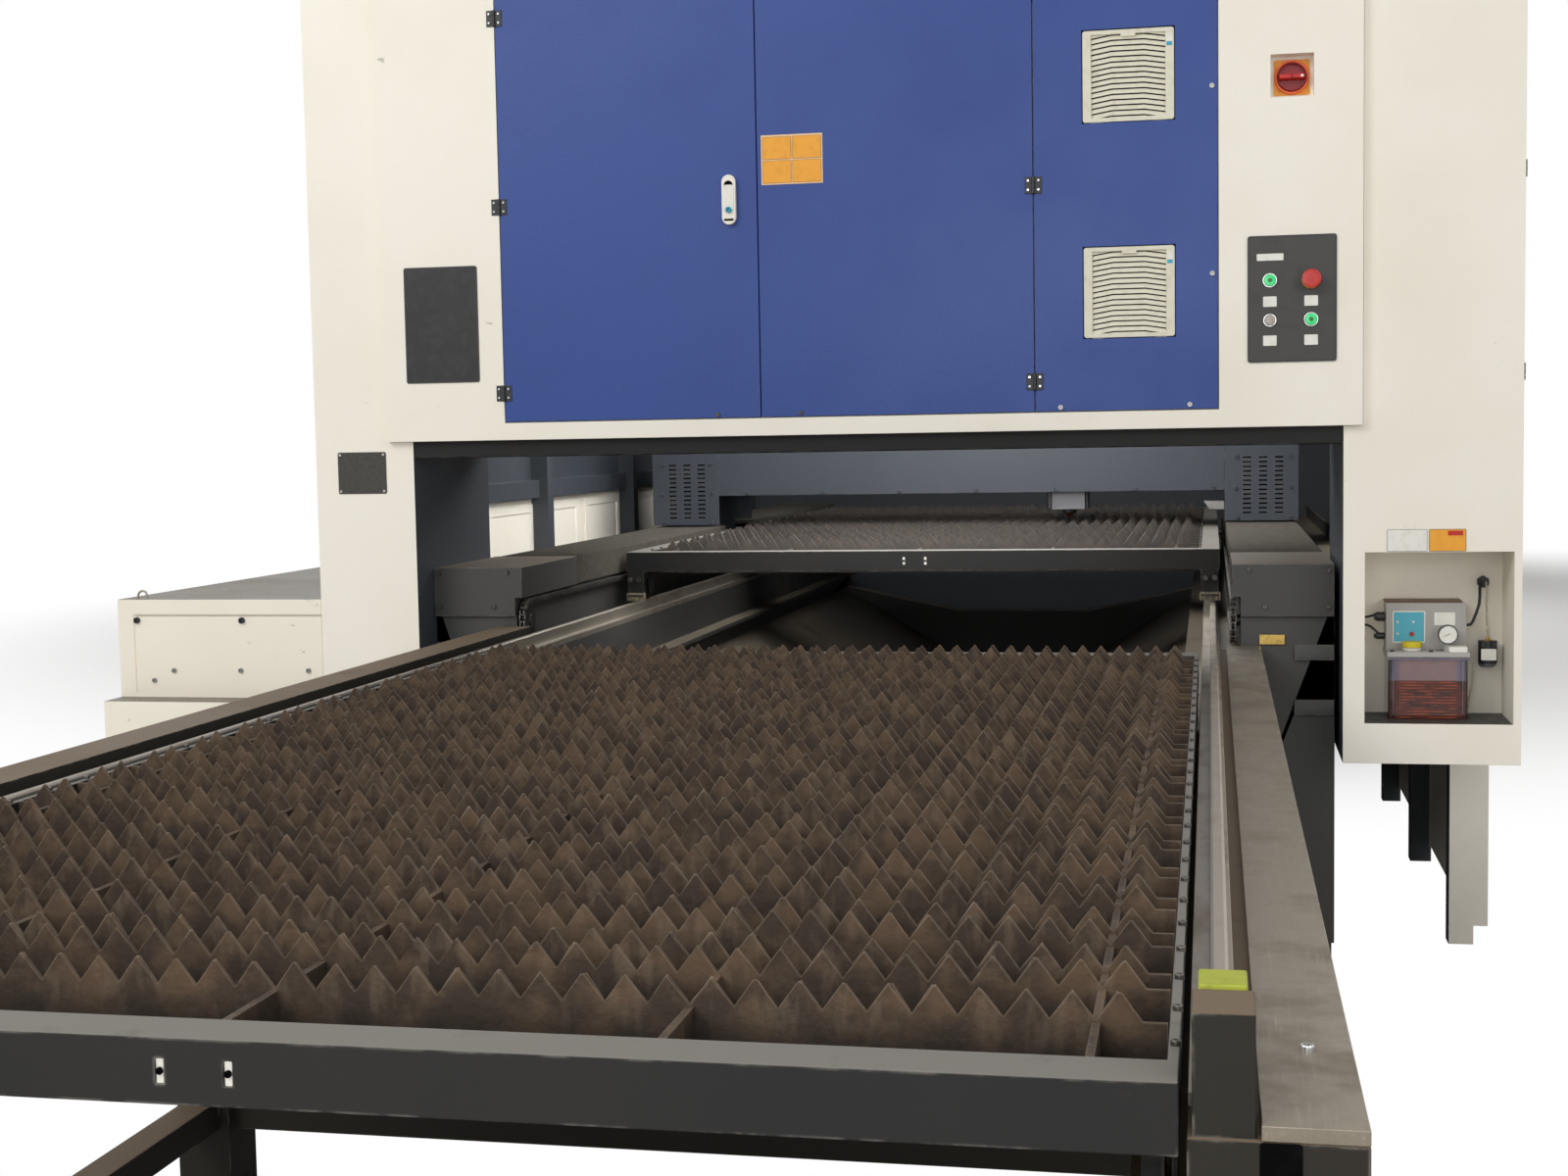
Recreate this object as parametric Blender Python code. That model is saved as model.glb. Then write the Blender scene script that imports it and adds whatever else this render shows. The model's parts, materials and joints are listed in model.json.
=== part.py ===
"""Fibre laser cutting machine with an enclosed gantry and a two-level pallet exchange platform.

Metres, +Z up. X runs across the machine, +Y from the exchange platform into the enclosure, and
z = 0 is the floor. Sizes are worked out with x = 0 on the centreline between the pallet rails and
y = 0 on the front plane of the white columns; the empty "machine" then moves the whole model so
that the origin is at the centre of its box on the floor.
"""

import math

import bmesh
import bpy
from mathutils import Matrix, Vector

# Clearances
GAP = 0.0003
RUN_GAP = 0.003
OVERRUN = 0.010
WELD_STEP = 0.002
SHEET = 0.003
FLAT_ANGLE = math.radians(0.5)

# Enclosure
FRONT_Y = 0.0
HEIGHT = 2.600
ENCLOSURE_DEPTH = 4.900
OPENING_LEFT = -1.154
OPENING_RIGHT = 1.165
LEFT_COLUMN_WIDTH = 0.270
RIGHT_COLUMN_WIDTH = 0.404
COLUMN_DEPTH = 0.560
COLUMN_BOTTOM = 0.567
WALL = 0.040
WALL_BOTTOM = 0.050
POST = 0.060
POST_COUNT = 5
WAIST_RAIL_Z = 1.170
CROSS_TUBE = 0.043
CROSS_TUBE_DEPTH = 0.060

# Portal with the electrical cabinet
PORTAL_LAP_LEFT = 0.064
PORTAL_LAP_RIGHT = 0.043
PORTAL_BOTTOM = 1.369
PORTAL_PROUD = 0.020
BAY_LEFT = -0.897
BAY_RIGHT = 0.879
BAY_BOTTOM = 1.412
BAY_TOP_RAIL = 0.100
BAY_TOP = HEIGHT - BAY_TOP_RAIL
BAY_ROOM = BAY_TOP - BAY_BOTTOM
DOOR_THICK = 0.022
DOOR_SKIN = 0.003
DOOR_FLANGE = 0.018
DOOR_STOP = 0.020
BAY_FRAME = 0.032
LEFT_SEAM = -0.231
RIGHT_SEAM = 0.445
DOOR_OPEN_GAP = 0.003

# Hinges and the door lock
HINGE_SIZE = 0.040
HINGE_LEAF = 0.0025
HINGE_PIN_RADIUS = 0.004
PIN_STANDOFF = HINGE_PIN_RADIUS + 2 * GAP
HINGE_SIDES = 8
SPINDLE_SIDES = 12
HINGE_FROM_BOTTOM = 0.075
HINGE_FROM_TOP = 0.078
HINGE_BOTTOM_Z = BAY_BOTTOM + HINGE_FROM_BOTTOM
HINGE_TOP_Z = BAY_TOP - HINGE_FROM_TOP
HINGE_MIDDLE_Z = (HINGE_BOTTOM_Z + HINGE_TOP_Z) / 2
LOCK_X = -0.3005
LOCK_ABOVE_HINGE = 0.0555
LOCK_TOP_Z = HINGE_MIDDLE_Z + LOCK_ABOVE_HINGE
LOCK_WIDTH = 0.035
LOCK_HEIGHT = 0.122
LOCK_DEPTH = 0.012
LOCK_SPINDLE_RADIUS = 0.008

# Filter vents
VENT_X = 0.670
VENT_UPPER_SHARE = 0.727
VENT_LOWER_SHARE = 0.260
VENT_UPPER_Z = BAY_BOTTOM + BAY_ROOM * VENT_UPPER_SHARE
VENT_LOWER_Z = BAY_BOTTOM + BAY_ROOM * VENT_LOWER_SHARE
VENT_SIZE = 0.218
VENT_RIM = 0.014
VENT_DEPTH = 0.022
VENT_SLAT_RECESS = 0.007
VENT_SLAT_REACH = 0.013
VENT_SLATS = 14
VENT_SLAT_THICK = 0.002
VENT_SLAT_TILT = math.radians(35)

# Main switch and the push buttons
SWITCH_X = 1.047
SWITCH_SHARE = 0.709
SWITCH_Z = BAY_BOTTOM + BAY_ROOM * SWITCH_SHARE
SWITCH_RECESS = 0.098
SWITCH_RECESS_DEPTH = 0.040
SWITCH_DIAL_RADIUS = 0.034
SWITCH_DIAL_THICK = 0.010
SWITCH_GRIP_WIDTH = 0.014
SWITCH_GRIP_THICK = 0.018
SWITCH_SPINDLE_RADIUS = 0.006
PANEL_LEFT = 0.945
PANEL_RIGHT = 1.148
PANEL_BOTTOM = 1.520
PANEL_TOP = 1.815
PANEL_THICK = 0.003
BUTTON_X_LEFT = 0.996
BUTTON_X_RIGHT = 1.090
BUTTON_Z_UPPER = 1.711
BUTTON_Z_LOWER = 1.618
BUTTON_RADIUS = 0.0085
BUTTON_PROUD = 0.006
BUTTON_LENGTH = 0.022
BEZEL_RADIUS = 0.015
BEZEL_THICK = 0.004
ESTOP_HEAD_RADIUS = 0.022
ESTOP_HEAD_THICK = 0.012
ESTOP_PROUD = 0.026

# Oil recess, lubricator and its lines
RECESS_LEFT = 1.215
RECESS_RIGHT = 1.551
RECESS_BOTTOM = 0.663
RECESS_TOP = 1.069
RECESS_DEPTH = 0.200
PUMP_X = 1.367
PUMP_WIDTH = 0.190
PUMP_HEIGHT = 0.118
PUMP_DEPTH = 0.105
PUMP_CHAMFER = 0.012
FLANGE_THICK = 0.012
FLANGE_LEDGE = 0.052
TANK_WIDTH = 0.184
TANK_DEPTH = 0.120
TANK_HEIGHT = 0.150
CAP_RADIUS = 0.024
CAP_HEIGHT = 0.016
CAP_OFFSET = 0.035
CAP_NECK_RADIUS = 0.018
CAP_NECK_HEIGHT = 0.006
GAUGE_RADIUS = 0.0215
GAUGE_THICK = 0.020
GAUGE_OFFSET = 0.047
GAUGE_RISE = 0.040
GAUGE_STEM_RADIUS = 0.009
FILTER_RADIUS = 0.022
FILTER_HEIGHT = 0.055
FILTER_X = 1.513
FILTER_Z = 0.817
FILTER_BRACKET = 0.014
GLAND_RADIUS = 0.015
GLAND_LENGTH = 0.014
GLAND_X = 1.505
GLAND_Z = 0.985
HOSE_RADIUS = 0.0025
CABLE_RADIUS = 0.0035
ROUTE_STEPS = 2

# Side door of the right column
SIDE_DOOR_FRONT = 0.040
SIDE_DOOR_REAR_POST = 0.060
SIDE_DOOR_WIDTH = COLUMN_DEPTH - SIDE_DOOR_FRONT - SIDE_DOOR_REAR_POST
SIDE_DOOR_BOTTOM = 1.430
SIDE_DOOR_TOP_RAIL = 0.120
SIDE_DOOR_TOP = HEIGHT - SIDE_DOOR_TOP_RAIL
SIDE_FRAME = 0.034

# Equipment inside the electrical cabinet
PLATE_INSET = 0.070
PLATE_THICK = 0.004
DRIVE_COUNT = 5
DRIVE_WIDTH = 0.090
DRIVE_FOOT_SHARE = 0.24
DRIVE_DEPTH = 0.180
BREAKER_COUNT = 8
BREAKER_WIDTH = 0.060
BREAKER_HEIGHT = 0.090
BREAKER_DEPTH = 0.075
DUCT_HEIGHT = 0.050
DUCT_DEPTH = 0.060

# Low cabinet at the left
LOW_CABINET_WIDTH = 0.583
LOW_CABINET_TOP = 0.962
LOW_CABINET_DEPTH = 1.300
PLINTH_TOP = 0.700
PLINTH_PROUD = 0.090
LOW_PANEL_EDGE = 0.046
LOW_PANEL_DROP = 0.045
LOW_PANEL_HEIGHT = 0.205
GROOVE = 0.004

# Exchange platform
PLATFORM_FRONT = -3.446
PLATFORM_REAR = 0.110
BEAM_INNER = 0.838
BEAM_OUTER = 0.977
TRACK_TOP = 0.714
BEAM_ABOVE_TRACK = 0.109
BEAM_TOP = TRACK_TOP + BEAM_ABOVE_TRACK
BEAM_HEIGHT = 0.140
SIDE_PLATE_INNER = 0.893
SIDE_PLATE_THICK = 0.0127
LEG = 0.100
LEG_COUNT = 3
LEG_INSET = 0.100
FOOT_RADIUS = 0.060
FOOT_HEIGHT = 0.025
TIE = 0.060
TIE_Z = 0.150
UPPER_TIE_DROP = 0.154
UPPER_TIE_Z = TRACK_TOP - UPPER_TIE_DROP
TRACK_INNER = 0.785
TRACK_THICK = 0.014

# Pallet rails, stops and bumpers
STRIP_OUTER = 0.879
STRIP_THICK = 0.0127
RAIL_X = 0.865
RAIL_WIDTH = 0.017
RAIL_HEIGHT = 0.044
RAIL_TOP = BEAM_TOP + RAIL_HEIGHT
RAIL_CHAMFER = 0.003
RAIL_REAR = 4.350
STOP_OUTER = 0.895
STOP_LENGTH = 0.075
STOP_HEIGHT = 0.099
STOP_TOP = BEAM_TOP + STOP_HEIGHT
BUMPER_RADIUS = 0.020
BUMPER_LENGTH = 0.050
BUMPER_DROP = 0.016
BUMPER_Z = STOP_TOP - BUMPER_DROP

# Pallets and their slats
PALLET_LENGTH = 3.100
PALLET_TUBE = 0.060
LOWER_PALLET_HALF = 0.832
PALLET_ABOVE_TRACK = 0.153
LOWER_PALLET_TOP = TRACK_TOP + PALLET_ABOVE_TRACK
LOWER_SIDE_BAR = 0.010
PALLET_LIP = 0.020
UPPER_PALLET_HALF = RAIL_X + PALLET_LIP
UPPER_PALLET_TOP = RAIL_TOP + PALLET_ABOVE_TRACK
UPPER_PALLET_FRONT = 1.020
SLOT_OFFSET = 0.032
SLOT_WIDTH = 0.007
SLOT_HEIGHT = 0.022
SLOT_DEPTH = 0.012
TOOTH_PITCH = 0.040
TOOTH_COUNT = 40
TOOTH_HEIGHT = 0.025
TIP_ABOVE_FRAME = 0.025
END_FLANK = 0.0145
SLAT_HALF = 0.821
SLAT_HEIGHT = 0.100
SLAT_THICK = 0.004
RIB_THICK = 0.008
RIB_HEIGHT = 0.050
RIB_DROP = 0.001
RIB_OFFSETS = (0.0, 0.400, 0.760)
LOWER_SLAT_ROWS = 7
UPPER_SLAT_ROWS = 5
FIRST_SLAT = 0.130
WHEEL_RADIUS = 0.035
WHEEL_WIDTH = 0.020
AXLE_RADIUS = 0.008
BRACKET_THICK = 0.010
BRACKET_LENGTH = 0.070
BRACKET_INSET = 0.140
SCRAPER_HEIGHT = 0.075
SCRAPER_WIDTH = 0.050
SCRAPER_THICK = 0.006

# Bed
BED_FRONT = 0.125
BED_REAR = 4.750
BED_OUTER = -OPENING_LEFT - GAP
BED_UPRIGHT = 0.930
BED_ABOVE_LEDGE = 0.130
BED_TOP = BEAM_TOP + BED_ABOVE_LEDGE
BED_BOTTOM = 0.100
BED_FOOT_COUNT = 4
BED_FOOT = 0.160
BED_CROSS = 0.120
CHUTE_DROP = 0.074
CHUTE_TOP = TRACK_TOP - CHUTE_DROP
CHUTE_BOTTOM = 0.300
CHUTE_MOUTH = 0.300
CHUTE_THICK = 0.010
LEDGE_BRACKET_LEFT = 1.058
LEDGE_BRACKET_PROUD = 0.012
LEDGE_BRACKET_HEIGHT = 0.036
LEDGE_UPPER_DROP = 0.023
LEDGE_LOWER_DROP = 0.049
LEDGE_UPPER_Z = BEAM_TOP - LEDGE_UPPER_DROP
LEDGE_LOWER_Z = TRACK_TOP - LEDGE_LOWER_DROP
TRAY_WIDTH = 0.140
TRAY_LIP = 0.047
TRAY_Z = BED_TOP + TRAY_LIP
TRAY_THICK = 0.008
TRAY_FRONT = 0.800

# Rail covers, bellows and guides along Y
COVER_INNER = 0.910
COVER_OUTER = 1.152
COVER_HEIGHT = 0.082
COVER_TOP = BED_TOP + COVER_HEIGHT
COVER_CLEARANCE = 0.002
COVER_SKIRT_BOTTOM = BED_TOP + COVER_CLEARANCE
COVER_PLATE_DROP = 0.046
COVER_PLATE_BOTTOM = BED_TOP - COVER_PLATE_DROP
COVER_FRONT = 0.112
COVER_REAR = 0.600
PLEAT_PITCH = 0.095
PLEAT_DEPTH = 0.014
BELLOWS_WALL = 0.006
GUIDE_X = 1.035
GUIDE_WIDTH = 0.034
GUIDE_HEIGHT = 0.031
GUIDE_INSET = 0.012
END_PLATE = 0.050

# Pallet drive
CHAIN_INNER = 0.904
CHAIN_WIDTH = 0.016
CHAIN_THICK = 0.010
CHAIN_ABOVE_LEDGE = 0.070
CHAIN_Z = BEAM_TOP + CHAIN_ABOVE_LEDGE
CHAIN_FRONT = 0.170
CHAIN_REAR = 4.500
SPROCKET_RADIUS = 0.045
DRIVE_SHAFT_RADIUS = 0.018
SHAFT_SEAT = 0.060
CHAIN_STEPS = 8

# Gantry, carriage and cutting head
GANTRY_FRONT = 2.350
END_COVER_INNER = 0.908
END_COVER_OUTER = 1.158
END_COVER_RISE = 0.087
END_COVER_BOTTOM = BED_TOP + END_COVER_RISE
END_COVER_DEPTH = 0.560
GANTRY_HEIGHT = 0.567
GANTRY_TOP = BED_TOP + GANTRY_HEIGHT
BEAM_COVER_RISE = 0.194
BEAM_COVER_BOTTOM = BED_TOP + BEAM_COVER_RISE
COVER_STANDOFF = 0.170
CROSSBEAM_FRONT = GANTRY_FRONT + COVER_STANDOFF
CROSSBEAM_DEPTH = 0.260
CROSSBEAM_RISE = 0.237
CROSSBEAM_HEIGHT = 0.300
CROSSBEAM_BOTTOM = BED_TOP + CROSSBEAM_RISE
CROSSBEAM_TOP = CROSSBEAM_BOTTOM + CROSSBEAM_HEIGHT
SADDLE_INNER = 0.960
SADDLE_OUTER = 1.140
SADDLE_LIP = 0.060
SADDLE_FRONT = CROSSBEAM_FRONT - SADDLE_LIP
SADDLE_REAR = CROSSBEAM_FRONT + CROSSBEAM_DEPTH + SADDLE_LIP
SADDLE_CLEARANCE = 0.005
SADDLE_BOTTOM = BED_TOP + SADDLE_CLEARANCE
X_RAIL = 0.020
X_RAIL_FROM_BOTTOM = 0.050
X_RAIL_FROM_TOP = 0.070
X_RAIL_LOW_Z = CROSSBEAM_BOTTOM + X_RAIL_FROM_BOTTOM
X_RAIL_HIGH_Z = CROSSBEAM_TOP - X_RAIL_FROM_TOP
LOUVRE_COLUMNS = 3
LOUVRE_ROWS = 6
LOUVRE_LENGTH = 0.034
LOUVRE_HEIGHT = 0.008
LOUVRE_TOP_DROP = 0.075
LOUVRE_ROW_PITCH = 0.066
LOUVRE_COLUMN_PITCH = 0.056
CARRIAGE_WIDTH = 0.220
CARRIAGE_THICK = 0.022
CARRIAGE_BELOW = 0.020
CARRIAGE_ABOVE = 0.010
CARRIAGE_BOTTOM = CROSSBEAM_BOTTOM - CARRIAGE_BELOW
CARRIAGE_TOP = CROSSBEAM_TOP + CARRIAGE_ABOVE
HEAD_X = 0.363
HEAD_WIDTH = 0.116
HEAD_DEPTH = 0.095
HEAD_RISE = 0.131
HEAD_BELOW_CARRIAGE_TOP = 0.040
HEAD_BOTTOM = BED_TOP + HEAD_RISE
HEAD_TOP = CARRIAGE_TOP - HEAD_BELOW_CARRIAGE_TOP
HEAD_CORNER = 0.012
NOZZLE_LENGTH = 0.034
NOZZLE_TIP_Z = HEAD_BOTTOM - NOZZLE_LENGTH
NOZZLE_TOP_RADIUS = 0.021
NOZZLE_TIP_RADIUS = 0.004
NOZZLE_BORE_RADIUS = 0.0015

# Derived places
LEFT_EDGE = OPENING_LEFT - LEFT_COLUMN_WIDTH
RIGHT_EDGE = OPENING_RIGHT + RIGHT_COLUMN_WIDTH
PORTAL_LEFT = OPENING_LEFT - PORTAL_LAP_LEFT
PORTAL_RIGHT = OPENING_RIGHT + PORTAL_LAP_RIGHT
PORTAL_FRONT = FRONT_Y - PORTAL_PROUD
REAR_Y = FRONT_Y + ENCLOSURE_DEPTH
LOW_CABINET_LEFT = LEFT_EDGE - GAP - LOW_CABINET_WIDTH
LOWER_PALLET_FRONT = PLATFORM_FRONT
CENTRE_X = (LOW_CABINET_LEFT + RIGHT_EDGE + PIN_STANDOFF + HINGE_PIN_RADIUS) / 2
CENTRE_Y = (PLATFORM_FRONT + REAR_Y) / 2
HINGE_HEIGHTS = (HINGE_BOTTOM_Z, HINGE_MIDDLE_Z, HINGE_TOP_Z)

# Finishes: colour, roughness, metallic
FINISHES = {
    "white_paint": ((0.80, 0.78, 0.73), 0.45, 0.0),
    "blue_paint": ((0.030, 0.075, 0.30), 0.40, 0.0),
    "grey_paint": ((0.050, 0.055, 0.065), 0.50, 0.0),
    "slate_paint": ((0.10, 0.13, 0.16), 0.50, 0.0),
    "dark_steel": ((0.045, 0.045, 0.048), 0.55, 0.4),
    "worn_plate": ((0.24, 0.22, 0.20), 0.50, 0.7),
    "bright_steel": ((0.60, 0.60, 0.60), 0.25, 1.0),
    "slat_steel": ((0.11, 0.085, 0.07), 0.60, 0.6),
    "black_plastic": ((0.015, 0.015, 0.016), 0.50, 0.0),
    "cream_plastic": ((0.70, 0.68, 0.60), 0.50, 0.0),
    "red_plastic": ((0.60, 0.03, 0.02), 0.35, 0.0),
    "green_lens": ((0.03, 0.55, 0.22), 0.25, 0.0),
    "yellow_plastic": ((0.75, 0.50, 0.03), 0.40, 0.0),
    "bumper_rubber": ((0.62, 0.68, 0.16), 0.45, 0.0),
    "bellows_fabric": ((0.018, 0.018, 0.020), 0.75, 0.0),
    "oil_amber": ((0.35, 0.07, 0.02), 0.15, 0.0),
    "pump_grey": ((0.45, 0.45, 0.44), 0.45, 0.0),
    "clear_hose": ((0.55, 0.52, 0.46), 0.20, 0.0),
    "copper": ((0.62, 0.30, 0.14), 0.35, 1.0),
}

for leftover in list(bpy.data.objects):
    bpy.data.objects.remove(leftover, do_unlink=True)

parts = bpy.data.collections.new("fibre_laser_cutting_machine")
bpy.context.scene.collection.children.link(parts)

machine = bpy.data.objects.new("machine", None)
machine.location = (-CENTRE_X, -CENTRE_Y, 0.0)
parts.objects.link(machine)


# Mesh helpers
def span_mesh(x, y, z):
    """A box between (low, high) pairs, as a mesh in machine coordinates."""
    shape = bmesh.new()
    bmesh.ops.create_cube(shape, size=1.0)
    for vertex in shape.verts:
        vertex.co.x = x[1] if vertex.co.x > 0 else x[0]
        vertex.co.y = y[1] if vertex.co.y > 0 else y[0]
        vertex.co.z = z[1] if vertex.co.z > 0 else z[0]
    return finished(shape)


def finished(shape, outward=True):
    """The working shape as a mesh, with its faces turned outward first unless they already are."""
    if outward:
        bmesh.ops.recalc_face_normals(shape, faces=shape.faces)
    mesh = bpy.data.meshes.new("shape")
    shape.to_mesh(mesh)
    shape.free()
    return mesh


def turned_mesh(mesh, matrix):
    mesh.transform(matrix)
    return mesh


def merged_flats(shape):
    """Joins the neighbouring faces that lie in one plane."""
    bmesh.ops.dissolve_limit(shape, angle_limit=FLAT_ANGLE, verts=shape.verts, edges=shape.edges)


def round_mesh(centre, radius, length, axis="Z", end_radius=None, sides=20):
    """A cylinder or cone, centred on a point, with its axis along X, Y or Z."""
    turn = {
        "X": Matrix.Rotation(math.pi / 2, 4, "Y"),
        "Y": Matrix.Rotation(-math.pi / 2, 4, "X"),
        "Z": Matrix.Identity(4),
    }[axis]
    shape = bmesh.new()
    bmesh.ops.create_cone(
        shape,
        cap_ends=True,
        segments=sides,
        radius1=radius,
        radius2=radius if end_radius is None else end_radius,
        depth=length,
    )
    return turned_mesh(finished(shape), Matrix.Translation(centre) @ turn)


def outline_mesh(points, axis, low, high):
    """A flat outline pushed along X or Y. Its points are (y, z) for X and (x, z) for Y."""
    curve = bpy.data.curves.new("outline", "CURVE")
    curve.dimensions = "2D"
    curve.fill_mode = "BOTH"
    curve.extrude = (high - low) / 2
    line = curve.splines.new("POLY")
    line.points.add(len(points) - 1)
    for point, place in zip(line.points, points):
        point.co = (*place, 0.0, 1.0)
    line.use_cyclic_u = True
    holder = bpy.data.objects.new("outline", curve)
    bpy.context.scene.collection.objects.link(holder)
    graph = bpy.context.evaluated_depsgraph_get()
    mesh = bpy.data.meshes.new_from_object(holder.evaluated_get(graph))
    bpy.data.objects.remove(holder)
    shape = bmesh.new()
    shape.from_mesh(mesh)
    bmesh.ops.remove_doubles(shape, verts=shape.verts, dist=GAP / 10)
    merged_flats(shape)
    middle = (low + high) / 2
    upright = Matrix.Rotation(math.pi / 2, 4, "X")
    if axis == "X":
        place = Matrix.Translation((middle, 0.0, 0.0)) @ Matrix.Rotation(math.pi / 2, 4, "Z")
    else:
        place = Matrix.Translation((0.0, middle, 0.0))
    return turned_mesh(finished(shape), place @ upright)


def loop_points(centre, radius, start, end, steps):
    """Points on an arc between two angles, both included."""
    turns = [start + (end - start) * step / steps for step in range(steps + 1)]
    return [
        (centre[0] + radius * math.cos(turn), centre[1] + radius * math.sin(turn))
        for turn in turns
    ]


def mirrored(mesh):
    """The same shape on the other side of the centreline."""
    shape = bmesh.new()
    shape.from_mesh(mesh)
    for vertex in shape.verts:
        vertex.co.x = -vertex.co.x
    bmesh.ops.reverse_faces(shape, faces=shape.faces)
    return finished(shape, outward=False)


def gathered(meshes):
    """Several shapes that don't meet, as one mesh."""
    shape = bmesh.new()
    for mesh in meshes:
        shape.from_mesh(mesh)
    return finished(shape, outward=False)


def combined(mesh, other, operation):
    """One Boolean step on two meshes, worked out through two temporary objects."""
    first = bpy.data.objects.new("first", mesh)
    second = bpy.data.objects.new("second", other)
    for helper in (first, second):
        bpy.context.scene.collection.objects.link(helper)
    step = first.modifiers.new(operation.lower(), "BOOLEAN")
    step.operation = operation
    step.solver = "EXACT"
    step.object = second
    graph = bpy.context.evaluated_depsgraph_get()
    shape = bmesh.new()
    shape.from_object(first, graph)
    for helper in (first, second):
        bpy.data.objects.remove(helper)
    merged_flats(shape)
    return finished(shape, outward=False)


def fused(meshes):
    result = meshes[0]
    for mesh in meshes[1:]:
        result = combined(result, mesh, "UNION")
    return result


def cut(mesh, *cutters):
    for cutter in cutters:
        mesh = combined(mesh, cutter, "DIFFERENCE")
    return mesh


# Object helpers
def place_of(holder):
    """Where a carrier stands in machine coordinates."""
    place = Vector((0.0, 0.0, 0.0))
    while holder != machine:
        place += holder.location
        holder = holder.parent
    return place


def finish_of(name, finish):
    colour, roughness, metallic = FINISHES[finish]
    material = bpy.data.materials.new(name + "_" + finish)
    material.use_nodes = True
    shader = material.node_tree.nodes["Principled BSDF"]
    shader.inputs["Base Color"].default_value = (*colour, 1.0)
    shader.inputs["Roughness"].default_value = roughness
    shader.inputs["Metallic"].default_value = metallic
    return material


def carrier(name, at, parent=machine):
    """An empty on a joint's axis, at a point in machine coordinates."""
    empty = bpy.data.objects.new(name, None)
    empty.parent = parent
    empty.location = Vector(at) - place_of(parent)
    parts.objects.link(empty)
    return empty


def piece(name, mesh, finish, on=machine, rounded=False):
    """A named part. Its mesh comes in machine coordinates and hangs on its carrier's origin."""
    mesh.transform(Matrix.Translation(-place_of(on)))
    mesh.name = name
    part = bpy.data.objects.new(name, mesh)
    part.parent = on
    mesh.materials.clear()
    mesh.materials.append(finish_of(name, finish))
    if rounded:
        mesh.shade_smooth()
        mesh.set_sharp_from_angle(angle=math.radians(35))
    parts.objects.link(part)
    return part


def both_sides(name, mesh, finish, on=machine, rounded=False):
    """A right piece and its mirror image at the left."""
    left = mirrored(mesh)
    piece(name + "_right", mesh, finish, on, rounded)
    piece(name + "_left", left, finish, on, rounded)


def bore_radius(pin, sides):
    """Corner radius of a many-sided bore whose flats still clear a turning pin."""
    return (pin + GAP) / math.cos(math.pi / sides)


def spread(first, last, count):
    """Evenly spaced places, both ends included."""
    return [first + (last - first) * index / (count - 1) for index in range(count)]


# Bed
def bed_side():
    """The right side beam: rail ledge, upright, top for the guide and the lower pallet track."""
    return outline_mesh(
        [
            (BEAM_INNER, BED_BOTTOM),
            (BED_OUTER, BED_BOTTOM),
            (BED_OUTER, BED_TOP),
            (BED_UPRIGHT, BED_TOP),
            (BED_UPRIGHT, BEAM_TOP),
            (BEAM_INNER, BEAM_TOP),
            (BEAM_INNER, TRACK_TOP),
            (TRACK_INNER, TRACK_TOP),
            (TRACK_INNER, TRACK_TOP - TRACK_THICK),
            (BEAM_INNER, TRACK_TOP - TRACK_THICK),
        ],
        "Y",
        BED_FRONT,
        BED_REAR,
    )


def bed_fittings():
    """What stands on or hangs from the right side beam."""
    found = []
    for z in (LEDGE_UPPER_Z, LEDGE_LOWER_Z):
        low = z
        high = z + LEDGE_BRACKET_HEIGHT
        found.append(
            outline_mesh(
                [
                    (BED_FRONT + OVERRUN, low),
                    (BED_FRONT - LEDGE_BRACKET_PROUD, low),
                    (BED_FRONT - LEDGE_BRACKET_PROUD, high - LEDGE_BRACKET_HEIGHT / 2),
                    (BED_FRONT - LEDGE_BRACKET_PROUD / 2, high),
                    (BED_FRONT + OVERRUN, high),
                ],
                "X",
                LEDGE_BRACKET_LEFT,
                BED_OUTER - WELD_STEP,
            )
        )
    found.append(
        span_mesh(
            (COVER_INNER + GAP, BED_OUTER - WELD_STEP),
            (BED_REAR - END_PLATE, BED_REAR - WELD_STEP),
            (BED_TOP - OVERRUN, COVER_TOP),
        )
    )
    for y in spread(BED_FRONT + BED_FOOT, BED_REAR - BED_FOOT, BED_FOOT_COUNT):
        found.append(
            span_mesh(
                (BED_OUTER - BED_FOOT, BED_OUTER - WELD_STEP),
                (y - BED_FOOT / 2, y + BED_FOOT / 2),
                (0.0, BED_BOTTOM + OVERRUN),
            )
        )
    return found


def cable_tray():
    """The folded tray beside the right guide, where the gantry's cables lie."""
    left = BED_OUTER - OVERRUN
    right = BED_OUTER + TRAY_WIDTH
    low = BED_TOP - WELD_STEP - TRAY_THICK
    return outline_mesh(
        [
            (left, low),
            (right, low),
            (right, TRAY_Z),
            (right - TRAY_THICK, TRAY_Z),
            (right - TRAY_THICK, low + TRAY_THICK),
            (left, low + TRAY_THICK),
        ],
        "Y",
        TRAY_FRONT,
        BED_REAR - 2 * END_PLATE,
    )


def chute_plate(side):
    """A sloped sheet that leads scrap from under the pallet to the middle."""
    top = side * (BEAM_INNER + OVERRUN)
    low = side * CHUTE_MOUTH
    return outline_mesh(
        [
            (top, CHUTE_TOP),
            (low, CHUTE_BOTTOM),
            (low, CHUTE_BOTTOM - CHUTE_THICK),
            (top, CHUTE_TOP - CHUTE_THICK),
        ],
        "Y",
        BED_FRONT + BED_CROSS / 2,
        BED_REAR - BED_CROSS / 2,
    )


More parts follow.
